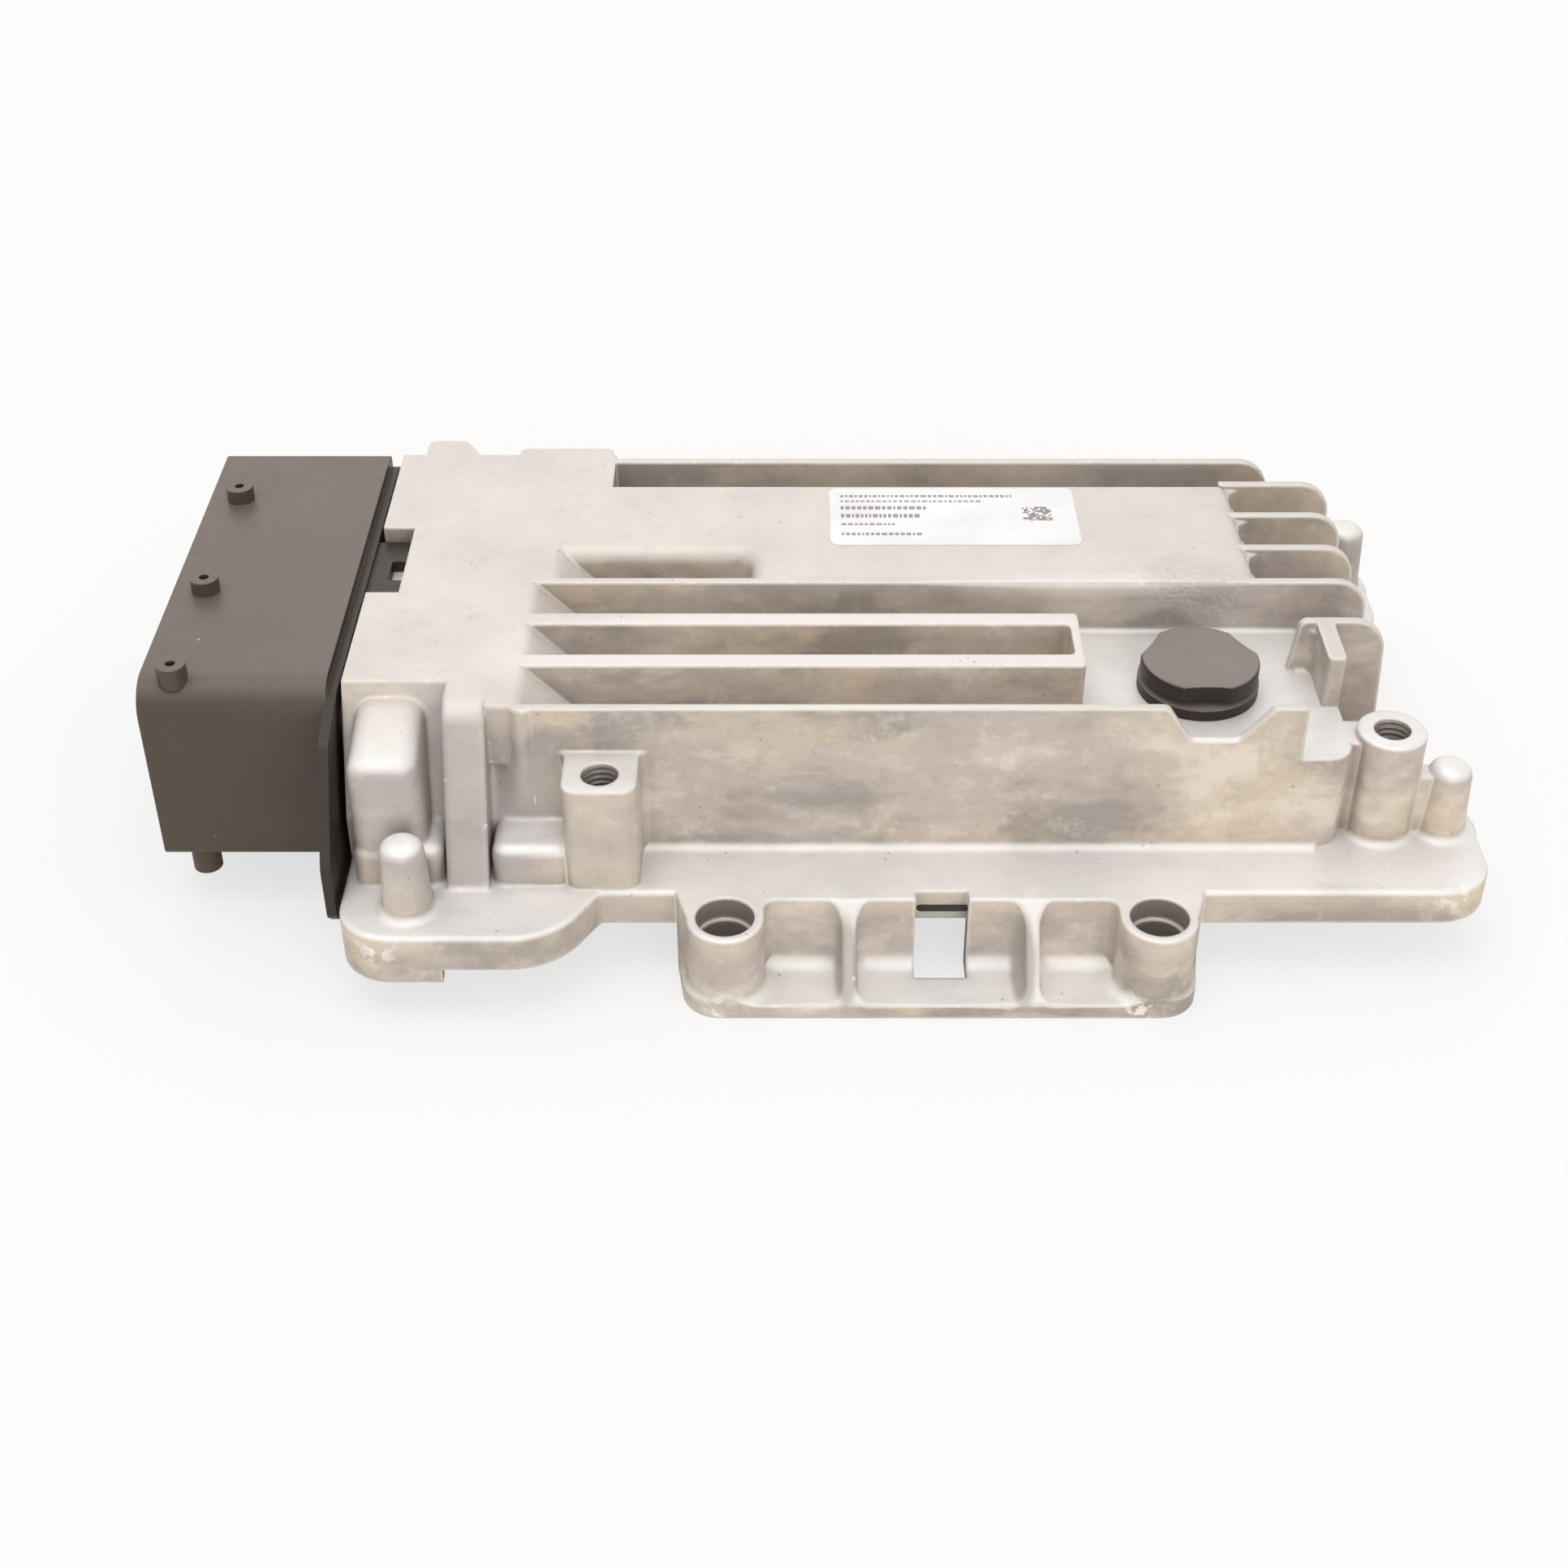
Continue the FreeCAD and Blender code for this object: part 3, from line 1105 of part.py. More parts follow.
def housing_fins():
    """The fins over the right end, the fin and rib beside the vent, and the back fin."""
    overlap = wall / 2
    rib_floor = roof_top - overlap
    under = chamber_reach - overlap
    fin_end = chamber_reach + fin_reach
    solids = [
        box("slot_left_end", (-channel_left - ramp_round * 2, -slot_left),
            (plateau_back - overlap, back_face), (rib_floor, deck_top)),
        prism("back_fin", "XZ",
              [(-slot_left - overlap, rib_floor), (back_fin_end + fin_lean, rib_floor),
               (back_fin_end, deck_top, fin_round), (-slot_left - overlap, deck_top)],
              (slot_back, slot_back + thin_rib)),
        rib_foot("slot_front_foot", plateau_back, 1, (-slot_left, plateau_right)),
        rib_foot("slot_back_foot", slot_back, -1, (-slot_left, back_fin_end)),
    ]
    for index in range(fin_count):
        front = rib_one + fin_pitch * index
        back = front + thin_rib
        name = f"end_fin_{index + 1}"
        solids.append(prism(
            name, "XZ",
            [(plateau_right - overlap, rib_floor), (under, rib_floor), (under, seat_level),
             (fin_end + fin_lean, seat_level), (fin_end, deck_top, fin_round),
             (plateau_right - overlap, deck_top)],
            (front, back),
        ))
        if index > 0:
            solids.append(cove(f"{name}_front_cove", "XY", (plateau_right, front), (1, -1), fin_cove,
                               (rib_floor, deck_top - fin_cove / 2)))
        if index < fin_count - 1:
            solids.append(cove(f"{name}_back_cove", "XY", (plateau_right, back), (1, 1), fin_cove,
                               (rib_floor, deck_top - fin_cove / 2)))
            solids.append(rib_foot(f"{name}_back_foot", back, 1, (plateau_right, under)))
            solids.append(rib_foot(f"{name}_front_foot", front + fin_pitch, -1, (plateau_right, under)))
    bay_end = chamber_reach + bay_fin_reach
    solids.append(prism(
        "bay_fin", "XZ",
        [(bay_fin_left - fin_lean, rib_floor), (under, rib_floor), (under, seat_level),
         (bay_end + fin_lean, seat_level), (bay_end, deck_top, fin_round),
         (bay_fin_left, deck_top, cast_cove)],
        (bay_fin_level, bay_fin_level + thin_rib),
    ))
    rib_left = chamber_reach - bay_rib_thick
    rib_back = bay_fin_level + thin_rib
    solids.append(prism(
        "bay_rib", "XY",
        [(rib_left, bay_rib_front, thin_rib / 2), (chamber_reach, bay_rib_front, thin_rib / 2),
         (chamber_reach, rib_back), (rib_left, rib_back)],
        (rib_floor, deck_top),
    ))
    solids.append(cove("bay_rib_cove", "XY", (rib_left, bay_fin_level), (-1, -1), cast_cove,
                       (rib_floor, deck_top - cast_cove)))
    solids.append(rib_foot("bay_fin_foot", bay_fin_level, -1, (bay_fin_left, rib_left)))
    return solids


def ramp(name, left, span):
    """A wedge that fills the left end of a channel at 45 degrees, rounded at its top."""
    start = -left - ramp_round * 2
    floor = roof_top - wall / 2
    return prism(
        name, "XZ",
        [(start, floor), (rib_height + wall / 2 - left, floor), (-left, deck_top, ramp_round),
         (start, deck_top)],
        span,
    )


def housing_ramps():
    """The sloping left ends of the channels."""
    grip = thin_rib / 2
    return [
        ramp("ramp_front", channel_left, (front_rib_back - grip, rib_three + grip)),
        ramp("ramp_middle", channel_left, (rib_three + thick_rib - grip, rib_two + grip)),
        ramp("ramp_back", channel_left, (rib_two + thick_rib - grip, rib_one + grip)),
    ]


def housing_bosses():
    """Screw bosses, threaded bosses and the webs that join them to the chamber."""
    solids = []
    stud_top = flange_top + stud_rise
    for name, spot in stud_spots.items():
        solids.append(turned(f"stud_{name}", spot, [
            (0, seat_level), (stud_radius, seat_level), (stud_radius, flange_top),
            (stud_tip_radius, stud_top, stud_dome), (0, stud_top),
        ]))
        foot = cove_ring(f"stud_foot_{name}", spot, stud_radius, flange_top, cast_cove)
        solids.append(common(f"stud_foot_kept_{name}", [foot, run_up(
            f"stud_zone_{name}", flange_outline(seat_level, f"stud_zone_outline_{name}"), stud_rise)]))
    top = flange_top + boss_rise
    left = -square_boss_left
    right = square_boss_width - square_boss_left
    front = flange_front + square_boss_inset
    inside = front_face + wall / 2
    flare = cast_cove * 1.5
    solids.append(prism(
        "square_boss", "XY",
        [(left, front, square_boss_round), (right, front, square_boss_round), (right, front_face, cast_cove),
         (right + flare, front_face), (right + flare, inside), (left - flare, inside),
         (left - flare, front_face), (left, front_face, cast_cove)],
        (seat_level, top),
    ))
    solids.append(turned("round_boss", round_boss_spot, [
        (0, seat_level), (round_boss_radius, seat_level), (round_boss_radius, top, flange_edge / 2), (0, top),
    ]))
    solids.append(cove_ring("round_boss_foot", round_boss_spot, round_boss_radius, flange_top, cast_cove))
    reach = round_boss_radius * 0.8
    solids.append(prism(
        "round_boss_web", "XY",
        [(chamber_reach - wall, round_boss_depth - reach / 3),
         (chamber_reach, round_boss_depth - reach / 3, cast_cove),
         (round_boss_place, round_boss_depth - reach), (round_boss_place, round_boss_depth + reach),
         (chamber_reach - wall, round_boss_depth + reach)],
        (seat_level, top - cast_cove),
    ))
    right_spot = stud_spots["front_right"]
    rear_spot = stud_spots["back_right"]
    solids.append(box("right_stud_web", (round_boss_place, right_spot[0]),
                      (right_spot[1] - stud_tip_radius / 2, right_spot[1] + stud_tip_radius / 2),
                      (seat_level, stud_top - web_drop)))
    solids.append(box("rear_stud_web", (chamber_reach - wall, rear_spot[0]),
                      (rear_spot[1] - stud_tip_radius / 2, rear_spot[1] + stud_tip_radius / 4),
                      (seat_level, stud_top - rear_web_drop)))
    return solids


def post_spots():
    """Six board posts, kept clear of the raised cores."""
    left = post_inset - channel_left
    right = chamber_reach - post_end_gap
    middle = (left + right) / 2
    front = cavity_front + post_front_gap
    back = back_face - post_back_gap
    return [(place, depth) for place in (left, middle, right) for depth in (front, back)]


def housing_cavity():
    """What is taken out from below: the chamber, raised cores and bores."""
    core_top = deck_top - core_gap
    tools = [
        prism("cavity", "XY",
              rectangle(cavity_left, cavity_right, cavity_front, cavity_back, cavity_corner),
              (seat_level - 1, roof_inner)),
        box("plateau_core", (-pocket_right + core_gap, plateau_right - core_gap),
            (rib_one + core_gap, plateau_back - core_gap), (roof_inner - 1, core_top)),
        box("deck_core", (end_face + deck_notch_width + core_gap, -channel_left - core_gap),
            (end_wall_top + core_gap, back_face - core_gap), (roof_inner - 1, core_top)),
        box("carrier_opening", (end_face - 1, cavity_left + 1),
            (carrier_front - carrier_play, carrier_back + carrier_play),
            (carrier_base - carrier_play, carrier_base + carrier_height + carrier_play)),
    ]
    return tools


def housing_posts():
    """Posts that hang from the roof and carry the board."""
    posts = []
    for index, spot in enumerate(post_spots(), 1):
        body = post(f"board_post_{index}", spot, post_radius, (board_top, roof_inner + 1))
        bore = post(f"board_post_bore_{index}", spot, post_bore, (board_top - 1, board_top + post_bore_depth))
        posts.append(cut(f"bored_post_{index}", body, [bore]))
    return posts


def housing_pedestal():
    """A block cast down from the roof to the power transistors."""
    left = -transistor_left - transistor_width / 2 - pedestal_margin
    right = left + transistor_pitch * (transistor_count - 1) + transistor_width + pedestal_margin * 2
    half = transistor_length / 2 + pedestal_margin
    return [box("heat_pedestal", (left, right), (transistor_depth - half, transistor_depth + half),
                (pedestal_level, roof_inner + 1))]


def housing_openings():
    """Bores, the bracket window and the notch in the end face."""
    tools = [
        box("window", (window_left, window_right), (window_front, flange_front + window_bite),
            (-1, flange_top + 1)),
        box("window_rim", (window_left, window_right), (flange_front, flange_front + rim_width + cover_play),
            (-1, seat_level)),
        box("deck_notch", (end_face - 1, end_face + deck_notch_width),
            (deck_notch_front, deck_notch_front + deck_notch_length),
            (deck_top - deck_notch_drop, deck_top + 1)),
        post("vent_hole", vent_spot, vent_neck_radius + vent_hole_play, (roof_inner - 1, roof_top + 1)),
    ]
    for side, spot in bracket_spots.items():
        tools.append(post(f"bore_upper_{side}", spot, bore_radius, (bore_step_level, flange_top + 1)))
        tools.append(post(f"bore_lower_{side}", spot, bore_lower_radius, (-1, bore_step_level + 1)))
    top = flange_top + boss_rise
    for name, spot in (("square", square_boss_spot), ("round", round_boss_spot)):
        tools.append(post(f"thread_{name}", spot, thread_radius, (top - thread_depth, top + 1)))
    for name, spot in stud_spots.items():
        tools.append(post(f"cover_thread_{name}", spot, cover_screw_radius,
                          (rim_base - foot_drop - 1, seat_level + cover_screw_grip + thread_spare)))
    return tools


def make_housing():
    """The whole casting."""
    outside = housing_flange() + housing_bracket() + housing_chamber() + housing_left_deck()
    outside += housing_ribs() + housing_plateau() + housing_fins() + housing_ramps() + housing_bosses()
    skin = fuse("housing_skin", outside)
    hollow = cut("housing_hollow", skin, housing_cavity())
    carrying = fuse("housing_with_posts", [hollow] + housing_posts() + housing_pedestal())
    return cut("housing", carrying, housing_openings())


def make_cover():
    """The cover: a flat rim sheet with a drawn pan that the module stands on."""
    full_outline = flange_outline(cover_base, "cover_flange_outline")
    outline = inset("cover_outline", full_outline, rim_width + cover_play)
    sheet_part = run_up("cover_sheet", outline, cover_thick)
    left = cavity_left + pan_left_gap
    right = chamber_reach - pan_side
    front = cavity_front - pan_margin
    back = rear_stud_depth - cover_head_radius - pan_back_gap
    pan = prism("pan_outside", "XY", rectangle(left, right, front, back, pan_corner),
                (0, cover_base + pan_sink))
    pan = round_edges("pan_rounded", pan, pan_edge, at_height(0))
    inside = prism(
        "pan_inside", "XY",
        rectangle(left + cover_thick, right - cover_thick, front + cover_thick, back - cover_thick,
                  pan_corner - cover_thick),
        (cover_thick, cover_top + 1),
    )
    holes = [
        post(f"cover_hole_{name}", spot, cover_screw_radius + cover_screw_play,
             (cover_base - 1, cover_top + 1))
        for name, spot in stud_spots.items()
    ]
    return cut("cover", fuse("cover_pressing", [sheet_part, pan]), [inside] + holes)


def make_gasket():
    """The flat gasket between the cover and its seat."""
    distance = rim_width + cover_play + gasket_inset
    outline = inset("gasket_outline", flange_outline(cover_top, "gasket_flange_outline"), distance)
    band = run_up("gasket_band", outline, gasket_thick)
    opening = prism(
        "gasket_opening", "XY",
        rectangle(cavity_left, cavity_right, cavity_front, cavity_back, cavity_corner),
        (cover_top - 1, seat_level + 1),
    )
    holes = [
        post(f"gasket_hole_{name}", spot, cover_screw_radius + cover_screw_play,
             (cover_top - 1, seat_level + 1))
        for name, spot in stud_spots.items()
    ]
    return cut("gasket", band, [opening] + holes)


def make_screw(name, spot, shank, head, head_base, tip, recess):
    """A screw that points up, with a chamfered head and a six-sided drive recess."""
    head_radius, head_height = head
    top = head_base + head_height
    chamfer = head_height / 4
    angles = [math.radians(60 * turn) for turn in range(6)]
    hexagon = [
        (spot[0] + recess[0] * math.cos(angle), spot[1] + recess[0] * math.sin(angle)) for angle in angles
    ]
    blank = turned(f"{name}_blank", spot, [
        (0, head_base), (head_radius - chamfer, head_base), (head_radius, head_base + chamfer),
        (head_radius, top), (shank, top), (shank, tip - chamfer), (shank - chamfer / 2, tip), (0, tip),
    ])
    drive = prism(f"{name}_drive", "XY", hexagon, (head_base - 1, head_base + recess[1]))
    return cut(name, blank, [drive])


def make_cover_screws():
    """The four screws that hold the cover."""
    screws = [
        make_screw(
            f"cover_screw_{name}", spot, cover_screw_radius - thread_play,
            (cover_head_radius, cover_head_height), cover_base - cover_head_height,
            seat_level + cover_screw_grip, (socket_radius, socket_depth),
        )
        for name, spot in stud_spots.items()
    ]
    return group("cover_screw_set", screws)


def make_board_screws():
    """The six screws that hold the board to its posts."""
    screws = [
        make_screw(
            f"board_screw_{index}", spot, post_bore - thread_play, (board_head_radius, board_head_height),
            board_base - board_head_height, board_top + board_screw_grip,
            (board_socket_radius, board_socket_depth),
        )
        for index, spot in enumerate(post_spots(), 1)
    ]
    return group("board_screw_set", screws)


def origin_plane(item, role):
    """One of a body's own origin planes."""
    return [plane for plane in item.Origin.OriginFeatures if plane.Role == role][0]


def body_sketch(item, name, plane, offset):
    """A sketch on one of a body's origin planes, moved along the plane's normal."""
    sketch = item.newObject("Sketcher::SketchObject", name)
    sketch.AttachmentSupport = [(origin_plane(item, f"{plane}_Plane"), "")]
    sketch.MapMode = "FlatFace"
    bind(sketch, "AttachmentOffset.Base.z", offset)
    return sketch


def pad(item, sketch, length, name):
    """A pad along the sketch's normal."""
    feature = item.newObject("PartDesign::Pad", name)
    feature.Profile = sketch
    bind(feature, "Length", length)
    return feature


def pocket(item, sketch, length, name):
    """A pocket that cuts along the sketch's normal."""
    feature = item.newObject("PartDesign::Pocket", name)
    feature.Profile = sketch
    feature.Reversed = True
    bind(feature, "Length", length)
    return feature


def repeat(item, features, sketch, axis, pitch, count, name):
    """A straight pattern of features along one sketch axis."""
    pattern = item.newObject("PartDesign::LinearPattern", name)
    pattern.Originals = features
    pattern.Direction = (sketch, [axis])
    pattern.Mode = "Spacing"
    bind(pattern, "Offset", pitch)
    pattern.Occurrences = count
    item.Tip = pattern
    return pattern


def pin_outline(row_height, bend, half, tip, foot):
    """An angled pin seen from the side: a pointed tip, a run to the bend and a leg down."""
    return [
        (tip, row_height - half * 0.4), (tip + half * 3, row_height - half), (bend - half, row_height - half),
        (bend - half, foot), (bend + half, foot), (bend + half, row_height + half),
        (tip + half * 3, row_height + half), (tip, row_height + half * 0.4),
    ]


pin_tip = end_face - seal_thick - plate_thick - shroud_length + pin_tip_recess
pin_foot = board_base - pin_tail


def pin_bends(rows, gap):
    """Where the legs of each row go down through the board."""
    return [cavity_left + pin_bend_start + gap * row for row in range(rows)]


def make_pins(name, rows, first_row, row_gap, half, bends, first, width, pitch, columns):
    """Rows of angled pins, patterned along Y."""
    item = doc.addObject("PartDesign::Body", name)
    item.AllowCompound = True
    features = []
    for row in range(rows):
        sketch = body_sketch(item, f"{name}_row_{row + 1}", "XZ", -(first + width / 2))
        draw_outline(sketch, pin_outline(first_row + row_gap * row, bends[row], half, pin_tip, pin_foot))
        features.append(pad(item, sketch, width, f"{name}_pad_{row + 1}"))
    doc.recompute()
    repeat(item, features, sketch, "N_Axis", pitch, columns, f"{name}_pattern")
    item.Tip.Reversed = True
    return item


def make_signal_pins():
    """Three rows of square pins."""
    return make_pins("signal_pin_rows", pin_rows, pin_first_row, pin_row_gap, pin_width / 2,
                     pin_bends(pin_rows, pin_bend_gap), pin_front, pin_width, pin_pitch, pin_columns)


def make_power_pins():
    """Two rows of flat blades."""
    return make_pins("power_pin_rows", blade_rows, pin_first_row + blade_rise, blade_row_gap, blade_thick / 2,
                     pin_bends(blade_rows, blade_bend_gap), blade_front, blade_width, blade_pitch,
                     blade_columns)


def make_board():
    """The board with its screw holes and the holes for the pins."""
    item = doc.addObject("PartDesign::Body", "board_body")
    outline = body_sketch(item, "board_outline", "XY", board_base)
    draw_outline(outline, rectangle(cavity_left + board_gap, cavity_right - board_gap,
                                    cavity_front + board_gap, cavity_back - board_gap, board_corner))
    pad(item, outline, board_thick, "board_pad")
    holes = body_sketch(item, "board_screw_holes", "XY", board_base)
    for spot in post_spots():
        draw_circle(holes, spot, post_bore + board_hole_play)
    doc.recompute()
    pocket(item, holes, board_thick, "board_screw_pocket")
    signal_holes = body_sketch(item, "signal_holes", "XY", board_base)
    for bend in pin_bends(pin_rows, pin_bend_gap):
        draw_circle(signal_holes, (bend, pin_front), pin_width * math.sqrt(0.5) + board_hole_play / 2)
    doc.recompute()
    cut_signal = pocket(item, signal_holes, board_thick, "signal_pocket")
    doc.recompute()
    repeat(item, [cut_signal], signal_holes, "V_Axis", pin_pitch, pin_columns, "signal_hole_pattern")
    blade_holes = body_sketch(item, "blade_holes", "XY", board_base)
    across = blade_thick / 2 + board_hole_play
    along = blade_width / 2 + board_hole_play
    for bend in pin_bends(blade_rows, blade_bend_gap):
        draw_outline(blade_holes, rectangle(bend - across, bend + across, blade_front - along,
                                            blade_front + along))
    doc.recompute()
    cut_blades = pocket(item, blade_holes, board_thick, "blade_pocket")
    doc.recompute()
    repeat(item, [cut_blades], blade_holes, "V_Axis", blade_pitch, blade_columns, "blade_hole_pattern")
    return item


plate_face = end_face - seal_thick
shroud_face = plate_face - plate_thick
mouth_face = shroud_face - shroud_length
plate_top = deck_top - plate_top_drop
peg_spots = {"front": peg_front, "middle": peg_middle, "rear": peg_rear}


def shroud_profile(margin):
    """The shroud section, set in by a margin."""
    small = shroud_edge - margin / 3
    return [
        (shroud_front + margin, shroud_base + margin, small),
        (shroud_back - margin, shroud_base + margin, small),
        (shroud_back - margin, deck_top - margin, small),
        (shroud_front + margin, deck_top - margin, shroud_round - margin),
    ]


def make_header(pins):
    """The header: a two-bay shroud, its flange, the pin carrier, pegs and a locating tab."""
    shroud = prism("shroud_outside", "YZ", shroud_profile(0), (mouth_face, shroud_face))
    bays = prism("shroud_inside", "YZ", shroud_profile(shroud_wall),
                 (mouth_face - 1, shroud_face - shroud_floor))
    shell = cut("shroud", shroud, [bays])
    plate = prism(
        "header_plate", "YZ",
        [(end_wall_top, plate_top, plate_corner),
         (end_wall_top - plate_shoulder, plate_top - plate_corner, plate_corner),
         (plate_front, plate_waist, plate_corner),
         (plate_front, plate_base + plate_corner, plate_corner / 2),
         (plate_front + plate_corner, plate_base, plate_corner / 2),
         (plate_back, plate_base, plate_corner), (plate_back, plate_top, plate_corner)],
        (shroud_face, plate_face),
    )
    carrier_top = carrier_base + carrier_height
    solids = [
        shell, plate,
        box("pin_carrier", (plate_face - 1, end_face + carrier_reach), (carrier_front, carrier_back),
            (carrier_base, carrier_top)),
        box("bay_divider", (mouth_face + divider_recess, shroud_face - shroud_floor + 1),
            (divider_place - divider_thick / 2, divider_place + divider_thick / 2),
            (shroud_base + shroud_wall / 2, deck_top - shroud_wall / 2)),
        box("locating_tab", (plate_face - 1, end_face + tab_reach),
            (deck_notch_front + tab_place, deck_notch_front + tab_place + tab_length),
            (deck_top - deck_notch_drop, deck_top - deck_notch_drop + tab_thick)),
    ]
    bores = []
    for name, depth in peg_spots.items():
        spot = (mouth_face + peg_inset, depth)
        solids.append(post(f"upper_peg_{name}", spot, peg_radius, (deck_top - 1, deck_top + peg_height)))
        solids.append(post(f"lower_peg_{name}", spot, peg_radius,
                           (shroud_base - lower_peg_height, shroud_base + 1)))
        bores.append(post(f"upper_peg_bore_{name}", spot, peg_bore, (deck_top, deck_top + peg_height + 1)))
        bores.append(post(f"lower_peg_bore_{name}", spot, peg_bore,
                          (shroud_base - lower_peg_height - 1, shroud_base)))
    slot_front = deck_notch_front + tab_place + tab_slot_place
    bores.append(box("tab_slot", (end_face + tab_reach - tab_slot_width, end_face + tab_reach + 1),
                     (slot_front, slot_front + tab_slot_length),
                     (deck_top - deck_notch_drop - 1, deck_top)))
    return cut("header", fuse("header_moulding", solids), bores + pins)


def make_header_seal():
    """The flat seal between the header flange and the end face."""
    band = prism(
        "seal_band", "YZ",
        rectangle(carrier_front - seal_band, carrier_back + seal_band, carrier_base - seal_band,
                  carrier_base + carrier_height + seal_band, seal_band / 2),
        (plate_face, end_face),
    )
    opening = box("seal_opening", (plate_face - 1, end_face + 1),
                  (carrier_front - carrier_play, carrier_back + carrier_play),
                  (carrier_base - carrier_play, carrier_base + carrier_height + carrier_play))
    return cut("seal", band, [opening])


def package(name, centre, extent, lift=0):
    """A rectangular package standing on the board."""
    length, width, height = extent
    return box(name, (centre[0] - length / 2, centre[0] + length / 2),
               (centre[1] - width / 2, centre[1] + width / 2), (board_top + lift, board_top + height))


def leaded_chip(name, centre, extent, leads, pitch, all_round=False):
    """A package with formed leads along two or all four sides."""
    length, width, height = extent
    solids = [package(f"{name}_package", centre, extent, chip_lift)]
    shoulder = board_top + height / 2
    reach = lead_reach - lead_foot
    sides = [("front", "YZ", 1, -1), ("back", "YZ", 1, 1)]
    if all_round:
        sides += [("left", "XZ", 0, -1), ("right", "XZ", 0, 1)]
    teeth = []
    for side, plane, axis, sign in sides:
        half = (width if axis == 1 else length) / 2
        start = centre[axis] + sign * (half - lead_root)
        knee = centre[axis] + sign * (half + reach)
        end = centre[axis] + sign * (half + lead_reach)
        profile = [
            (start, shoulder), (knee, shoulder), (knee, board_top + lead_thick),
            (end, board_top + lead_thick), (end, board_top), (knee - sign * lead_thick, board_top),
            (knee - sign * lead_thick, shoulder - lead_thick), (start, shoulder - lead_thick),
        ]
        middle = centre[1 - axis]
        span = (pitch * (leads - 1) + pitch / 2) / 2
        strip = prism(f"{name}_strip_{side}", plane, profile, (middle - span, middle + span))
        gaps = []
        for index in range(leads - 1):
            gap_start = middle - span + pitch * index + pitch / 2
            gap_span = (gap_start, gap_start + pitch / 2)
            near = centre[axis] + sign * (half + lead_web)
            far = centre[axis] + sign * (half + lead_reach + lead_foot)
            out = (near, far) if sign > 0 else (far, near)
            height_span = (board_top - lead_foot, board_top + height)
            if axis == 1:
                gaps.append(box(f"{name}_gap_{side}_{index}", gap_span, out, height_span))
            else:
                gaps.append(box(f"{name}_gap_{side}_{index}", out, gap_span, height_span))
        teeth.append(cut(f"{name}_leads_{side}", strip, gaps))
    return fuse(f"{name}_chip", solids + teeth)


def make_transistors():
    """The power transistors, each with its tab and two leads."""
    chips = []
    for index in range(transistor_count):
        across = -transistor_left + transistor_pitch * index
        centre = (across, transistor_depth)
        name = f"transistor_{index + 1}"
        base = package(f"{name}_package", centre, (transistor_width, transistor_length, transistor_height))
        tab = box(f"{name}_tab", (across - transistor_width * 0.4, across + transistor_width * 0.4),
                  (transistor_depth, transistor_depth + transistor_length / 2 + transistor_tab),
                  (board_top, board_top + transistor_tab_thick))
        legs = [
            box(f"{name}_leg_{side}",
                (across + shift - transistor_leg / 2, across + shift + transistor_leg / 2),
                (transistor_depth - transistor_length / 2 - transistor_leg_reach, transistor_depth),
                (board_top, board_top + transistor_leg_thick))
            for side, shift in (("left", -transistor_width / 3), ("right", transistor_width / 3))
        ]
        chips.append(fuse(f"{name}_whole", [base, tab] + legs))
    return group("transistor_row", chips)


def make_thermal_pads():
    """A pad between each transistor and the pedestal."""
    pads = []
    for index in range(transistor_count):
        across = -transistor_left + transistor_pitch * index
        pads.append(box(
            f"thermal_pad_{index + 1}", (across - transistor_width / 2, across + transistor_width / 2),
            (transistor_depth - transistor_length / 2, transistor_depth + transistor_length / 2),
            (board_top + transistor_height, pedestal_level),
        ))
    return group("thermal_pad_row", pads)


def make_capacitors():
    """Standing buffer capacitors: a can with a rolled groove on a square plastic foot."""
    base = board_top + can_foot
    top = board_top + can_height
    groove = base + can_radius / 3
    depth = can_radius / 10
    profile = [
        (0, base), (can_radius, base), (can_radius, groove - depth), (can_radius - depth, groove),
        (can_radius, groove + depth), (can_radius, top - depth), (can_radius - depth, top), (0, top),
    ]
    cans = []
    for index in range(can_count):
        spot = (can_pitch * index - can_place, can_depth)
        name = f"capacitor_{index + 1}"
        foot = package(f"{name}_foot", spot, (can_foot_side, can_foot_side, can_foot))
        cans.append(fuse(f"{name}_whole", [foot, turned(f"{name}_can", spot, profile)]))
    return group("capacitor_set", cans)


def make_choke():
    """The supply choke: a pressed core with two end terminals."""
    centre = (choke_place, choke_depth)
    core = package("choke_core", centre, (choke_side, choke_side, choke_height))
    core = round_edges("choke_core_rounded", core, choke_corner,
                       lambda edge: abs(edge.Vertexes[0].Point.z - edge.Vertexes[-1].Point.z) > 1e-4)
    half = choke_terminal / 2
    terminals = [
        box(f"choke_terminal_{side}", (choke_place + shift - half, choke_place + shift + half),
            (choke_depth - choke_side / 5, choke_depth + choke_side / 5),
            (board_top, board_top + choke_height / 3))
        for side, shift in (("left", -choke_side / 2), ("right", choke_side / 2))
    ]
    return fuse("choke_whole", [core] + terminals)


def make_row(name, spots, extent):
    """Like packages at several places on the board."""
    return group(name, [package(f"{name}_{index}", spot, extent) for index, spot in enumerate(spots, 1)])


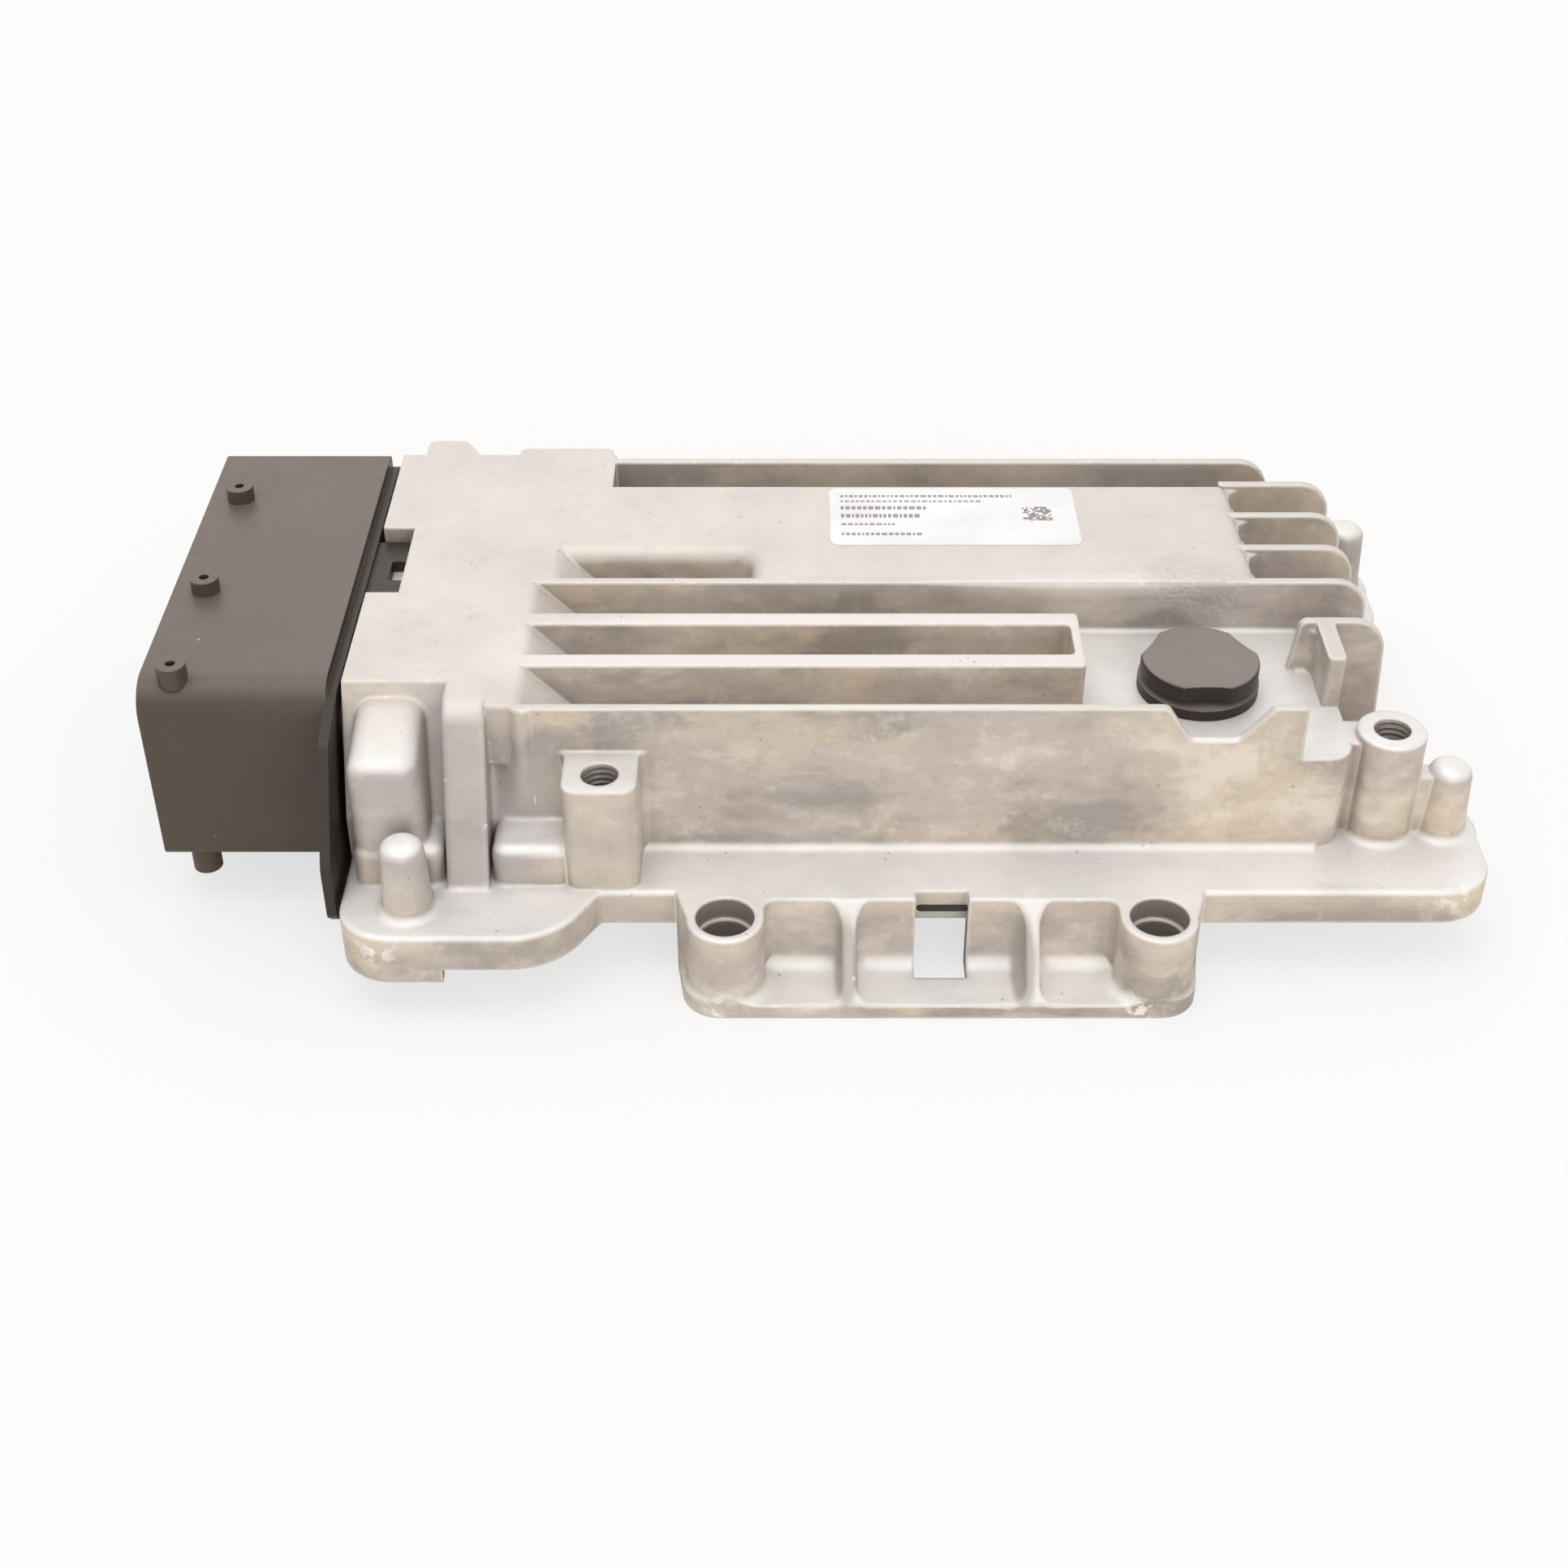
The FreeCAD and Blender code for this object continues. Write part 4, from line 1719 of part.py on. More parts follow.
def make_vent_body():
    """The vent base: a grooved disc, a bored neck through the roof and a snap ring under it."""
    item = doc.addObject("PartDesign::Body", "vent_base_body")
    sketch = body_sketch(item, "vent_profile", "XZ", -vent_depth)
    bind(sketch, "AttachmentOffset.Base.x", vent_place)
    base_top = roof_top + vent_base_height
    groove_in = vent_seal_ring - vent_seal_radius
    groove_out = vent_seal_ring + vent_seal_radius
    groove_top = roof_top + vent_seal_radius * 2
    hook = vent_neck_radius + vent_hole_play + vent_hook_reach
    hook_top = roof_inner - vent_hook_play
    hook_end = roof_inner - vent_hook_height
    draw_outline(sketch, [
        (vent_bore_radius, hook_end), (vent_neck_radius - vent_hook_lead, hook_end),
        (hook, hook_top - vent_hook_land), (hook, hook_top), (vent_neck_radius, hook_top),
        (vent_neck_radius, roof_top), (groove_in, roof_top), (groove_in, groove_top),
        (groove_out, groove_top), (groove_out, roof_top), (vent_base_radius, roof_top),
        (vent_base_radius, base_top),
        (vent_bore_radius, base_top),
    ])
    turned = item.newObject("PartDesign::Revolution", "vent_turned")
    turned.Profile = sketch
    turned.ReferenceAxis = (sketch, ["V_Axis"])
    turned.Angle = 360
    item.Tip = turned
    return item


def make_vent_cap():
    """The cap with three grip hollows, on four short posts."""
    cap_base = roof_top + vent_base_height + vent_gap
    cap_top = cap_base + vent_cap_height
    disc = turned("vent_disc", vent_spot, [
        (0, cap_base), (vent_cap_radius, cap_base), (vent_cap_radius, cap_top, vent_cap_edge), (0, cap_top),
    ])
    away = vent_cap_radius - vent_grip_depth + vent_grip_radius
    grips = []
    for turn in range(3):
        angle = math.radians(120 * turn - 90)
        spot = (vent_place + away * math.cos(angle), vent_depth + away * math.sin(angle))
        grips.append(post(f"vent_grip_{turn + 1}", spot, vent_grip_radius, (cap_base - 1, cap_top + 1)))
    posts = []
    for turn in range(4):
        angle = math.radians(45 + 90 * turn)
        spot = (vent_place + vent_post_ring * math.cos(angle), vent_depth + vent_post_ring * math.sin(angle))
        posts.append(post(f"vent_post_{turn + 1}", spot, vent_post_radius,
                          (cap_base - vent_gap, cap_base + vent_post_radius)))
    return fuse("vent_cap_whole", [cut("vent_disc_gripped", disc, grips)] + posts)


def make_vent_seal():
    """The ring seal in the groove under the vent base."""
    inner = vent_seal_ring - vent_seal_radius
    outer = vent_seal_ring + vent_seal_radius
    return turned("vent_ring", vent_spot, rectangle(inner, outer, roof_top, roof_top + vent_seal_radius * 2))


def make_label():
    """The bare label on the plateau."""
    return prism(
        "label_sheet", "XY",
        rectangle(-label_left, label_width - label_left, label_front, label_front + label_depth,
                  label_corner),
        (deck_top, deck_top + label_thick),
    )


nodes = []


def node(item, label):
    """Names a finished sub-part."""
    item.Label = label
    nodes.append(item)
    return item


power_chip = (power_chip_length, power_chip_width, power_chip_height)
small_chip = (small_chip_length, small_chip_width, small_chip_height)
processor_body = (processor_side, processor_side, processor_height)
node(make_housing(), "housing")
node(make_cover(), "base_cover")
node(make_gasket(), "cover_gasket")
node(make_cover_screws(), "cover_screws")
signal_pins = node(make_signal_pins(), "signal_pins")
power_pins = node(make_power_pins(), "power_pins")
node(make_header([signal_pins, power_pins]), "connector_header")
node(make_header_seal(), "header_seal")
node(make_board(), "circuit_board")
node(make_board_screws(), "board_screws")
node(leaded_chip("processor", (-processor_place, processor_depth), processor_body, processor_leads,
                 processor_pitch, True), "microcontroller")
node(leaded_chip("driver", (driver_place, driver_depth), power_chip, power_chip_leads, chip_pitch),
     "pump_driver")
node(leaded_chip("regulator", (-regulator_place, regulator_depth), power_chip, power_chip_leads, chip_pitch),
     "supply_regulator")
transceiver_spots = [
    (-transceiver_place, transceiver_depth + transceiver_pitch * index) for index in range(transceiver_count)
]
node(group("transceiver_pair", [
    leaded_chip(f"transceiver_{index}", spot, small_chip, small_chip_leads, chip_pitch)
    for index, spot in enumerate(transceiver_spots, 1)
]), "bus_transceivers")
node(leaded_chip("memory", (-memory_place, memory_depth), small_chip, small_chip_leads, chip_pitch),
     "memory_chip")
node(make_transistors(), "output_transistors")
node(make_thermal_pads(), "thermal_pads")
node(make_capacitors(), "buffer_capacitors")
node(make_choke(), "supply_choke")
node(package("crystal_can", (-crystal_place, crystal_depth), (crystal_length, crystal_width, crystal_height)),
     "clock_crystal")
diode_spots = [(-diode_place, diode_depth + diode_pitch * index) for index in range(diode_count)]
node(make_row("diode", diode_spots, (diode_length, diode_width, diode_height)), "suppressor_diodes")
chip_cap_spots = [
    (-chip_cap_left + chip_cap_pitch * index, chip_cap_depth) for index in range(chip_cap_count)
]
node(make_row("ceramic", chip_cap_spots, (chip_cap_length, chip_cap_width, chip_cap_height)),
     "ceramic_capacitors")
resistor_spots = [
    (-resistor_left + resistor_pitch * index, resistor_depth) for index in range(resistor_count)
]
node(make_row("resistor", resistor_spots, (resistor_length, resistor_width, resistor_height)),
     "chip_resistors")
node(make_vent_body(), "vent_body")
node(make_vent_seal(), "vent_seal")
node(post("membrane_disc", vent_spot, membrane_radius,
          (roof_top + vent_base_height, roof_top + vent_base_height + membrane_thick)), "vent_membrane")
node(make_vent_cap(), "vent_cap")
node(make_label(), "label")

doc.recompute()
faulty = [item.Label for item in doc.Objects if "Invalid" in item.State or "Error" in item.State]
if faulty:
    raise SystemExit("objects that did not compute: " + ", ".join(faulty))
os.makedirs("parts", exist_ok=True)
for item in nodes:
    shape = item.Shape
    if shape.isNull() or not shape.isValid():
        raise SystemExit("not a valid shape: " + item.Label)
    print(item.Label, len(shape.Solids), round(shape.Volume, 1), len(shape.Faces))
    shape.exportStep(f"parts/{item.Label}.step")
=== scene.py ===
import json
import math
import random
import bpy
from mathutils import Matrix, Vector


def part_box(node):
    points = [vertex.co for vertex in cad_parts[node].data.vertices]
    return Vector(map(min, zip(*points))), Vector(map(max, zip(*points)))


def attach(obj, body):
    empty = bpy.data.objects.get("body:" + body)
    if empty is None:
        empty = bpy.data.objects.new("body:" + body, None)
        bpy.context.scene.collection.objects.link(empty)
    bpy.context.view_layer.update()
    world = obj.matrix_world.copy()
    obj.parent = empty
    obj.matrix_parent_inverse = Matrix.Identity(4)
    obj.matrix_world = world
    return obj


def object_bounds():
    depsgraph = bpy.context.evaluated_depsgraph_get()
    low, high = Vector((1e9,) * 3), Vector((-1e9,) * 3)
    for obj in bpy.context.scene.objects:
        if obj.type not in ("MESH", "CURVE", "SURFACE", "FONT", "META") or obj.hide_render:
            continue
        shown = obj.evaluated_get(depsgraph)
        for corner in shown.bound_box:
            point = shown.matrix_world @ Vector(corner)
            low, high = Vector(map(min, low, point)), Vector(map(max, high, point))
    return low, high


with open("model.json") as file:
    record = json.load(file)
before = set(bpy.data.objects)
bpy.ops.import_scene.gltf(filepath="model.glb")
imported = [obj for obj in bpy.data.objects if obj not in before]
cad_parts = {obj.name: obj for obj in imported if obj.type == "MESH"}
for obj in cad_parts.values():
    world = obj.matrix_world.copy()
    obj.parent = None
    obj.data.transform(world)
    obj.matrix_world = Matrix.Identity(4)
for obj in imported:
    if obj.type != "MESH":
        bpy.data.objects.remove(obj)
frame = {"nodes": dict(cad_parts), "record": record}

from types import SimpleNamespace

import bpy

cad_box = [list(corner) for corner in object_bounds()]
BODY = "root"
MM = 0.001
nodes = frame["nodes"]

# Levels between which the casting's level faces change from the pale low ones to the browner high ones
ROOF_TOP = 33.0 * MM
DECK_TOP = 42.5 * MM
LOW_TOPS_END = ROOF_TOP + 3.0 * MM
HIGH_TOPS_START = DECK_TOP - 2.0 * MM

# Zones of the casting, in metres: the centre, how far the effect is full, and where it ends. A squeeze shortens
# X, so that a round zone becomes a long one, and a stretch lengthens X, so that it becomes a narrow one.
LIP_SQUEEZE = 0.12
# The plateau's front lip: its edges are more rounded there, and it carries a painted highlight
LIP_ZONE = ((26.0 * MM * LIP_SQUEEZE, 54.0 * MM, 42.5 * MM), 1.5 * MM, 3.5 * MM)
RIB_SQUEEZE = 0.27
# Painted highlight: the deck around the ribs and ramps is made brighter in colour
RIB_HIGHLIGHT_FIELD = ((-12.0 * MM * RIB_SQUEEZE, 32.0 * MM, 42.5 * MM), 14.0 * MM, 17.5 * MM)
COLD_PATCH = ((44.0 * MM, 54.5 * MM, 42.0 * MM), 3.0 * MM, 10.0 * MM)
WARM_PATCH = ((46.0 * MM, 17.0 * MM, 27.0 * MM), 6.0 * MM, 24.0 * MM)
WARM_CORNER = ((-63.0 * MM, 17.0 * MM, 39.0 * MM), 6.5 * MM, 10.0 * MM)
# Painted shade: walls and leaning faces around the left posts are darkened in this zone
SHADED_PATCH = ((-76.0 * MM, 13.0 * MM, 29.0 * MM), 14.0 * MM, 20.0 * MM)

# Zones that share their distances: the centres, then the distances
WEBS = ((-14.7 * MM, 0.0, 6.0 * MM), (13.0 * MM, 0.0, 6.0 * MM))
WEB_ROUNDED = (8.0 * MM, 11.0 * MM)
WEB_STRETCH = 4.0
# Reach of the painted shade on the web ridges
WEB_RIDGE = (6.0 * MM, 9.0 * MM)
SCUFFS = ((-87.0 * MM, -4.8 * MM, 13.2 * MM), (80.8 * MM, 6.5 * MM, 14.6 * MM),
          (-34.0 * MM, -5.9 * MM, 1.4 * MM), (31.0 * MM, -5.9 * MM, 1.4 * MM))
SCUFF_SIZE = (0.5 * MM, 4.5 * MM)
BRACKET_BORES = ((-33.5 * MM, 0.0, 0.0), (33.5 * MM, 0.0, 0.0))
BORE_WALL = (4.75 * MM, 4.75 * MM + 0.1 * MM)

# Depths and levels where an effect begins and where it is full, and the header plate's left face
# Depths over which the painted shade towards the back grows
BACK_DEPTHS = (45.0 * MM, 95.0 * MM)
POST_DEPTHS = (17.0 * MM, 15.0 * MM)
POST_LEVELS = (11.0 * MM, 14.0 * MM)
PLATE_LEFT = -95.75 * MM

# Rounded edges and creases of the casting: distances in metres, then the samples taken for each
EDGE_RADIUS = 0.9 * MM
LIP_ZONE_RADIUS = 2.4 * MM
WEB_RADIUS = 1.5 * MM
SHADED_EXTRA_RADIUS = 0.7 * MM
CREASE_REACH = 3.5 * MM
BEVEL_SAMPLES = 6
CREASE_SAMPLES = 4

# Colours of the casting
GREY_STAIN = (0.55, 0.485, 0.435)
WARM_STAIN = (0.66, 0.56, 0.43)
DARK_STAIN = (0.37, 0.325, 0.29)
PALE_STAIN = (0.86, 0.77, 0.66)
PALE_MOTTLE = (0.86, 0.80, 0.72)
DARK_MOTTLE = (0.40, 0.355, 0.32)
# Painted shade colour for walls towards the back
BACK_SHADE = (0.36, 0.325, 0.305)
FRONT_POST = (0.76, 0.67, 0.54)
# Painted shade colour of the shaded patch
SHADED_WALL = (0.45, 0.415, 0.41)
DARKER_BORE_WALL = (0.38, 0.345, 0.31)
LOW_TOP = (0.80, 0.785, 0.77)
LOW_TOP_PALE = (0.89, 0.875, 0.86)
LOW_TOP_SMEAR = (0.66, 0.635, 0.62)
HIGH_TOP = (0.72, 0.665, 0.615)
HIGH_TOP_DULL = (0.66, 0.61, 0.565)
HIGH_TOP_MOTTLE = (0.56, 0.515, 0.475)
# Painted highlight colour on the deck around the ribs
RIB_HIGHLIGHT = (0.82, 0.765, 0.715)
# Painted highlight colour along the plateau's front lip
LIP_HIGHLIGHT = (0.84, 0.785, 0.735)
# Painted shade colour on the rounded web ridges
WEB_SHADE = (0.42, 0.385, 0.35)
# Crease colour: dirt together with painted shade where ambient occlusion finds creases
CREASE_DIRT_AND_SHADE = (0.33, 0.285, 0.25)
PIT = (0.24, 0.21, 0.19)
# Edge colour: wear together with a painted highlight along the edges
WORN_EDGE_AND_HIGHLIGHT = (0.93, 0.885, 0.845)
BARE_CHIP = (0.97, 0.95, 0.93)
CASTING_METALLIC = 0.22

# Colours of what settles on the plastics: dust, which on upward faces is also a painted sheen, and lint
DUST_AND_PAINTED_SHEEN = (0.62, 0.545, 0.485)
LINT = (0.70, 0.68, 0.65)

# Noises on the casting: stretch along each axis, scale, detail, roughness
CASTING_NOISES = {
    "broad": ((0.8, 1.0, 1.4), 34.0, 3.0, 0.6),
    "smear": ((0.45, 1.0, 1.0), 75.0, 5.0, 0.62),
    "blotch": (None, 62.0, 5.0, 0.62),
    "mottled": (None, 260.0, 5.0, 0.68),
    "grain": (None, 2400.0, 2.0, 0.55),
    "drag": ((1.0, 1.0, 0.06), 900.0, 3.0, 0.55),
    "flow": ((0.05, 1.0, 1.0), 1100.0, 3.0, 0.55),
}

# Noises with one use: scale, detail and, where it isn't the usual one, roughness
COLD_NOISE = (1000.0, 3.0, 0.7)
NICK_NOISE = (330.0, 2.0)
SCUFF_NOISE = (330.0, 5.0, 0.6)

# Layers of colour on the casting, from the lowest up: noise, where it begins and is full, share, colour
WALL_LAYERS = (
    ("smear", 0.50, 0.61, 0.88, DARK_STAIN),
    ("smear", 0.45, 0.34, 0.65, PALE_STAIN),
    ("mottled", 0.54, 0.70, 0.36, PALE_MOTTLE),
    ("mottled", 0.46, 0.32, 0.36, DARK_MOTTLE),
)
LOW_TOP_LAYERS = (("blotch", 0.38, 0.62, 1.0, LOW_TOP_PALE), ("smear", 0.54, 0.66, 0.45, LOW_TOP_SMEAR))
HIGH_TOP_LAYERS = (("blotch", 0.38, 0.64, 1.0, HIGH_TOP_DULL), ("mottled", 0.56, 0.72, 0.4, HIGH_TOP_MOTTLE))

# Ramps over a noise, a normal's lift or another field: the begin and the end, then the values there if they
# aren't 0 and 1
NOISE_SPAN = (0.3, 0.7)
TOPSIDE_LIFT = (0.25, 0.74)
# In the shaded patch only steeper lifts count as tops, so leaning faces keep the painted shade
SHADED_TOPSIDE_LIFT = (0.42, 0.68)
WARM_BROAD = (0.46, 0.60)
WARM_BLOTCH = (0.28, 0.46)
POST_BLOTCH = (0.36, 0.56, 0.1, 0.5)
SHADED_BLOTCH = (0.30, 0.62, 1.0, 0.5)
CREASE_OCCLUSION = (0.85, 0.50)
CREASE_LIFT = (0.45, 0.10)
CREASE_DIRT_AND_SHADE_BLOTCH = (0.30, 0.60, 0.35, 0.75)
WORN_AND_HIGHLIT_BLOTCH = (0.34, 0.52, 0.55, 1.0)
NICK_EDGE = (0.2, 0.7)
NICK_SPAN = (0.62, 0.66)
SCUFF_SPAN = (0.54, 0.57, 0.0, 0.8)
SPOT_AREAS = (0.57, 0.63)
COLD_SPAN = (0.40, 0.60)
DRAG_LIFT = (0.4, 0.1)
FILM_LIFT = (0.5, 1.0)
EDGE_COSINE = (0.995, 0.88)

# How much of a colour over the casting's own shows, at most
BACK_SHADE_SHARE = 0.45
RIB_HIGHLIGHT_SHARE = 0.85
LIP_HIGHLIGHT_SHARE = 0.7
WEB_SHADE_SHARE = 0.8
PIT_SHARE = 0.6
# Share of the worn edges and their painted highlight that is left in the shaded patch
WORN_AND_HIGHLIT_IN_SHADE = 0.25

# Small round spots: scale, rim, core, scale of the areas that have them, then the strength if it isn't 1
PIT_SPOTS = (420.0, 0.14, 0.06, 150.0)
LINT_SPOTS = (230.0, 0.07, 0.03, 90.0, 0.6)

# Relief of the casting's skin: the height of each part, in units of the depth
MOTTLE_HEIGHT, GRAIN_HEIGHT, DRAG_HEIGHT, FLOW_HEIGHT, COLD_HEIGHT = 0.7, 0.14, 0.16, 0.06, 4.5
RELIEF_DEPTH, RELIEF_STRENGTH = 0.25 * MM, 0.42
CASTING_ROUGHNESS = (0.38, 0.54)

# Moulded surfaces: uneven colour, the darker clean zone, the film of dust and painted sheen on upward faces,
# spread of roughness, grain
UNEVEN_SCALE, UNEVEN_DETAIL, UNEVEN_SHADE = 70.0, 4.0, 0.86
CLEAN_SHADE, CLEAN_BLUR = 0.35, 0.02 * MM
FILM_LEAST = 0.75
SMOOTHER, ROUGHER = 0.05, 0.07
GRAIN_DEPTH, GRAIN_STRENGTH = 0.08 * MM, 0.3

# Finish of each slot: colour, colour of worn edges, roughness, scale of the grain, metallic; then what differs
FINISHES = {
    "cover_metal": (((0.66, 0.64, 0.61), (0.82, 0.80, 0.77), 0.42, 900.0, 0.6), {}),
    "seal_rubber": (((0.022, 0.018, 0.016), (0.05, 0.045, 0.04), 0.7, 1500.0), {}),
    "screw_steel": (((0.50, 0.48, 0.45), (0.75, 0.73, 0.70), 0.32, 1200.0, 0.95), {}),
    "header_plastic": (((0.082, 0.060, 0.041), (0.14, 0.11, 0.09), 0.42, 1400.0),
                       {"dust_and_painted_sheen": 0.15, "clean_from": PLATE_LEFT, "sheen": 0.42}),
    "vent_plastic": (((0.026, 0.019, 0.018), (0.13, 0.11, 0.10), 0.45, 1300.0), {"dust_and_painted_sheen": 0.40, "sheen": 0.35}),
    "pin_metal": (((0.66, 0.63, 0.58), (0.8, 0.78, 0.74), 0.34, 2000.0, 0.45), {"edge_radius": 0.08}),
    "board_laminate": (((0.01, 0.10, 0.04), (0.25, 0.24, 0.14), 0.3, 1100.0), {}),
    "chip_plastic": (((0.018, 0.018, 0.02), (0.05, 0.05, 0.052), 0.5, 1600.0), {}),
    "can_metal": (((0.62, 0.62, 0.63), (0.8, 0.8, 0.8), 0.25, 800.0, 0.9), {}),
    "choke_core": (((0.08, 0.08, 0.085), (0.15, 0.15, 0.15), 0.55, 1500.0), {}),
    "crystal_metal": (((0.6, 0.59, 0.56), (0.8, 0.8, 0.78), 0.25, 900.0, 0.9), {}),
    "ceramic": (((0.32, 0.22, 0.13), (0.6, 0.58, 0.55), 0.45, 1500.0), {}),
    "resistor_glaze": (((0.02, 0.02, 0.024), (0.5, 0.5, 0.5), 0.3, 1500.0), {}),
    "pad_rubber": (((0.20, 0.27, 0.38), (0.3, 0.36, 0.45), 0.6, 1200.0), {}),
    "membrane": (((0.75, 0.75, 0.73), (0.85, 0.85, 0.83), 0.8, 2500.0), {}),
    # The thread finish is darker than the casting the threads are cut in: painted shade inside the bores
    "thread_metal": (((0.26, 0.24, 0.22), (0.36, 0.33, 0.30), 0.4, 1200.0, 0.6), {"edge_radius": 0.1}),
    "label_film": (((0.97, 0.965, 0.96), (0.98, 0.975, 0.97), 0.4, 700.0), {}),
}
INK_FINISH = ((0.36, 0.345, 0.34), (0.40, 0.39, 0.38), 0.5, 900.0)

# Label marks, in millimetres from the label's front left corner
INK_HEIGHT = 0.02
ROW_START, ROW_REACH, DASH_GAP = 2.0, 38.0, 0.32
DASH_WIDTHS = (0.3, 0.95)
INK_ROWS = [  # front, depth, share of the reach
    (16.3, 0.7, 0.85), (14.6, 0.5, 0.7), (12.0, 1.1, 0.45), (9.2, 1.2, 0.42), (6.6, 0.6, 0.3), (3.2, 0.8, 0.4),
]
CHEQUER_LEFT, CHEQUER_FRONT, CELL = 33.6, 8.2, 0.36
CHEQUER_ROWS, CHEQUER_COLUMNS, CHEQUER_FILL = 13, 14, 0.55

# Threads, in millimetres: the bores' centre lines and tops, then the ridge that they share
THREADED_BORES = {"square": (-52.65, 11.25, 34.5), "round": (71.3, 23.2, 34.5)}
THREAD_ROOT, THREAD_CREST, THREAD_PITCH, THREAD_DEPTH = 2.95, 2.65, 1.0, 12.0
THREAD_LEAD_IN, THREAD_HALF_ROOT, THREAD_HALF_CREST = 0.4, 0.42, 0.06
THREAD_STEPS = 36

# Gasket bead, in millimetres
BEAD_LEFT, BEAD_RIGHT, BEAD_FRONT, BEAD_LEVEL = -3.55, 4.65, 6.35, 12.15
BEAD_SWELL, BEAD_EASE, BEAD_END_SHARE = 0.62, 0.5, 0.55
BEAD_STEPS = 8

# Stage
FLOOR_SIZE = 6.0
FLOOR_GAP = 0.05 * MM
FLOOR_COLOUR = (0.92, 0.915, 0.91, 1.0)
FLOOR_ROUGHNESS = 0.85
PAGE_CENTRE = (0.0, 0.05, 0.0)
PAGE_BEGINS, PAGE_FULL, PAGE_SHARE_NEAR = 0.2, 0.9, 0.68
WHITE = (1.0, 1.0, 1.0, 1.0)
SKY_TINT = (1.0, 0.985, 0.97, 1.0)
SKY_STRENGTH = 0.66
LAMP_TARGET = (-0.02, 0.05, 0.02)
LAMPS = [  # name, place, size, power, colour
    ("top_lamp", (-0.12, -0.05, 0.95), 0.8, 2.9, (1.0, 0.985, 0.965)),
    ("front_lamp", (0.25, -0.95, 0.45), 0.8, 2.7, (1.0, 0.98, 0.96)),
    ("back_lamp", (-0.15, 0.95, 0.72), 0.9, 1.4, (1.0, 0.985, 0.97)),
]
CAMERA_PLACE = (-24.4 * MM, -266.5 * MM, 240.1 * MM)
CAMERA_LOOKS_DOWN = 36.75
LENS, SENSOR, NEAR_CLIP = 51.86, 36.0, 0.01


def new_material(name):
    """An empty node material with its output and one Principled shader."""
    material = bpy.data.materials.new(name)
    material.use_nodes = True
    tree = material.node_tree
    tree.nodes.clear()
    output = tree.nodes.new("ShaderNodeOutputMaterial")
    shader = tree.nodes.new("ShaderNodeBsdfPrincipled")
    tree.links.new(shader.outputs["BSDF"], output.inputs["Surface"])
    return material, tree, shader


def add(tree, kind, **settings):
    """A node with its settings. Names that are not properties are input sockets."""
    node = tree.nodes.new(kind)
    for name, value in settings.items():
        if hasattr(node, name):
            setattr(node, name, value)
        else:
            node.inputs[name].default_value = value
    return node


def link(tree, source, target):
    """Joins an output socket to an input socket."""
    tree.links.new(source, target)


def place(tree, stretch=(1.0, 1.0, 1.0)):
    """Object coordinates, in metres, each axis multiplied by its factor."""
    where = add(tree, "ShaderNodeTexCoord").outputs["Object"]
    if stretch == (1.0, 1.0, 1.0):
        return where
    mapping = add(tree, "ShaderNodeMapping", Scale=stretch)
    link(tree, where, mapping.inputs["Vector"])
    return mapping.outputs["Vector"]


def noise(tree, where, scale, detail=3.0, roughness=0.55):
    """Fractal noise between 0 and 1."""
    node = add(tree, "ShaderNodeTexNoise", Scale=scale, Detail=detail, Roughness=roughness)
    link(tree, where, node.inputs["Vector"])
    return node.outputs["Fac"]


def ramp(tree, value, low, high, dark=0.0, light=1.0):
    """Remaps low..high to dark..light, clamped."""
    node = add(tree, "ShaderNodeMapRange", clamp=True)
    for socket, number in (("From Min", low), ("From Max", high), ("To Min", dark), ("To Max", light)):
        node.inputs[socket].default_value = number
    link(tree, value, node.inputs["Value"])
    return node.outputs["Result"]


def between(tree, mask, off, on):
    """A value that is off where a mask is 0 and on where it is 1."""
    return ramp(tree, mask, 0.0, 1.0, off, on)


def mix(tree, factor, first, second):
    """Blends two colours, each a socket or a tuple."""
    node = add(tree, "ShaderNodeMix", data_type="RGBA")
    link(tree, factor, node.inputs["Factor"])
    for socket, colour in (("A", first), ("B", second)):
        target = [item for item in node.inputs if item.name == socket and item.type == "RGBA"][0]
        if isinstance(colour, tuple):
            target.default_value = colour + (1.0,)
        else:
            link(tree, colour, target)
    return [item for item in node.outputs if item.type == "RGBA"][0]


def maths(tree, operation, first, second):
    """One operation on two values, each a socket or a number."""
    node = add(tree, "ShaderNodeMath", operation=operation)
    for index, value in enumerate((first, second)):
        if isinstance(value, (int, float)):
            node.inputs[index].default_value = value
        else:
            link(tree, value, node.inputs[index])
    return node.outputs["Value"]


def times(tree, first, second):
    """The product of two values."""
    return maths(tree, "MULTIPLY", first, second)


def larger(tree, first, second):
    """The larger of two values."""
    return maths(tree, "MAXIMUM", first, second)


def soft_edges(tree, radius):
    """A normal that rounds edges over a radius, a number or a socket, and a mask that is 1 along those edges."""
    bevel = add(tree, "ShaderNodeBevel", samples=BEVEL_SAMPLES)
    if isinstance(radius, float):
        bevel.inputs["Radius"].default_value = radius
    else:
        link(tree, radius, bevel.inputs["Radius"])
    flat = add(tree, "ShaderNodeNewGeometry")
    compare = add(tree, "ShaderNodeVectorMath", operation="DOT_PRODUCT")
    link(tree, bevel.outputs["Normal"], compare.inputs[0])
    link(tree, flat.outputs["True Normal"], compare.inputs[1])
    return bevel.outputs["Normal"], ramp(tree, compare.outputs["Value"], *EDGE_COSINE)


def bump(tree, height, distance, strength, normal):
    """Relief on top of another normal."""
    node = add(tree, "ShaderNodeBump", Strength=strength, Distance=distance)
    link(tree, height, node.inputs["Height"])
    link(tree, normal, node.inputs["Normal"])
    return node.outputs["Normal"]


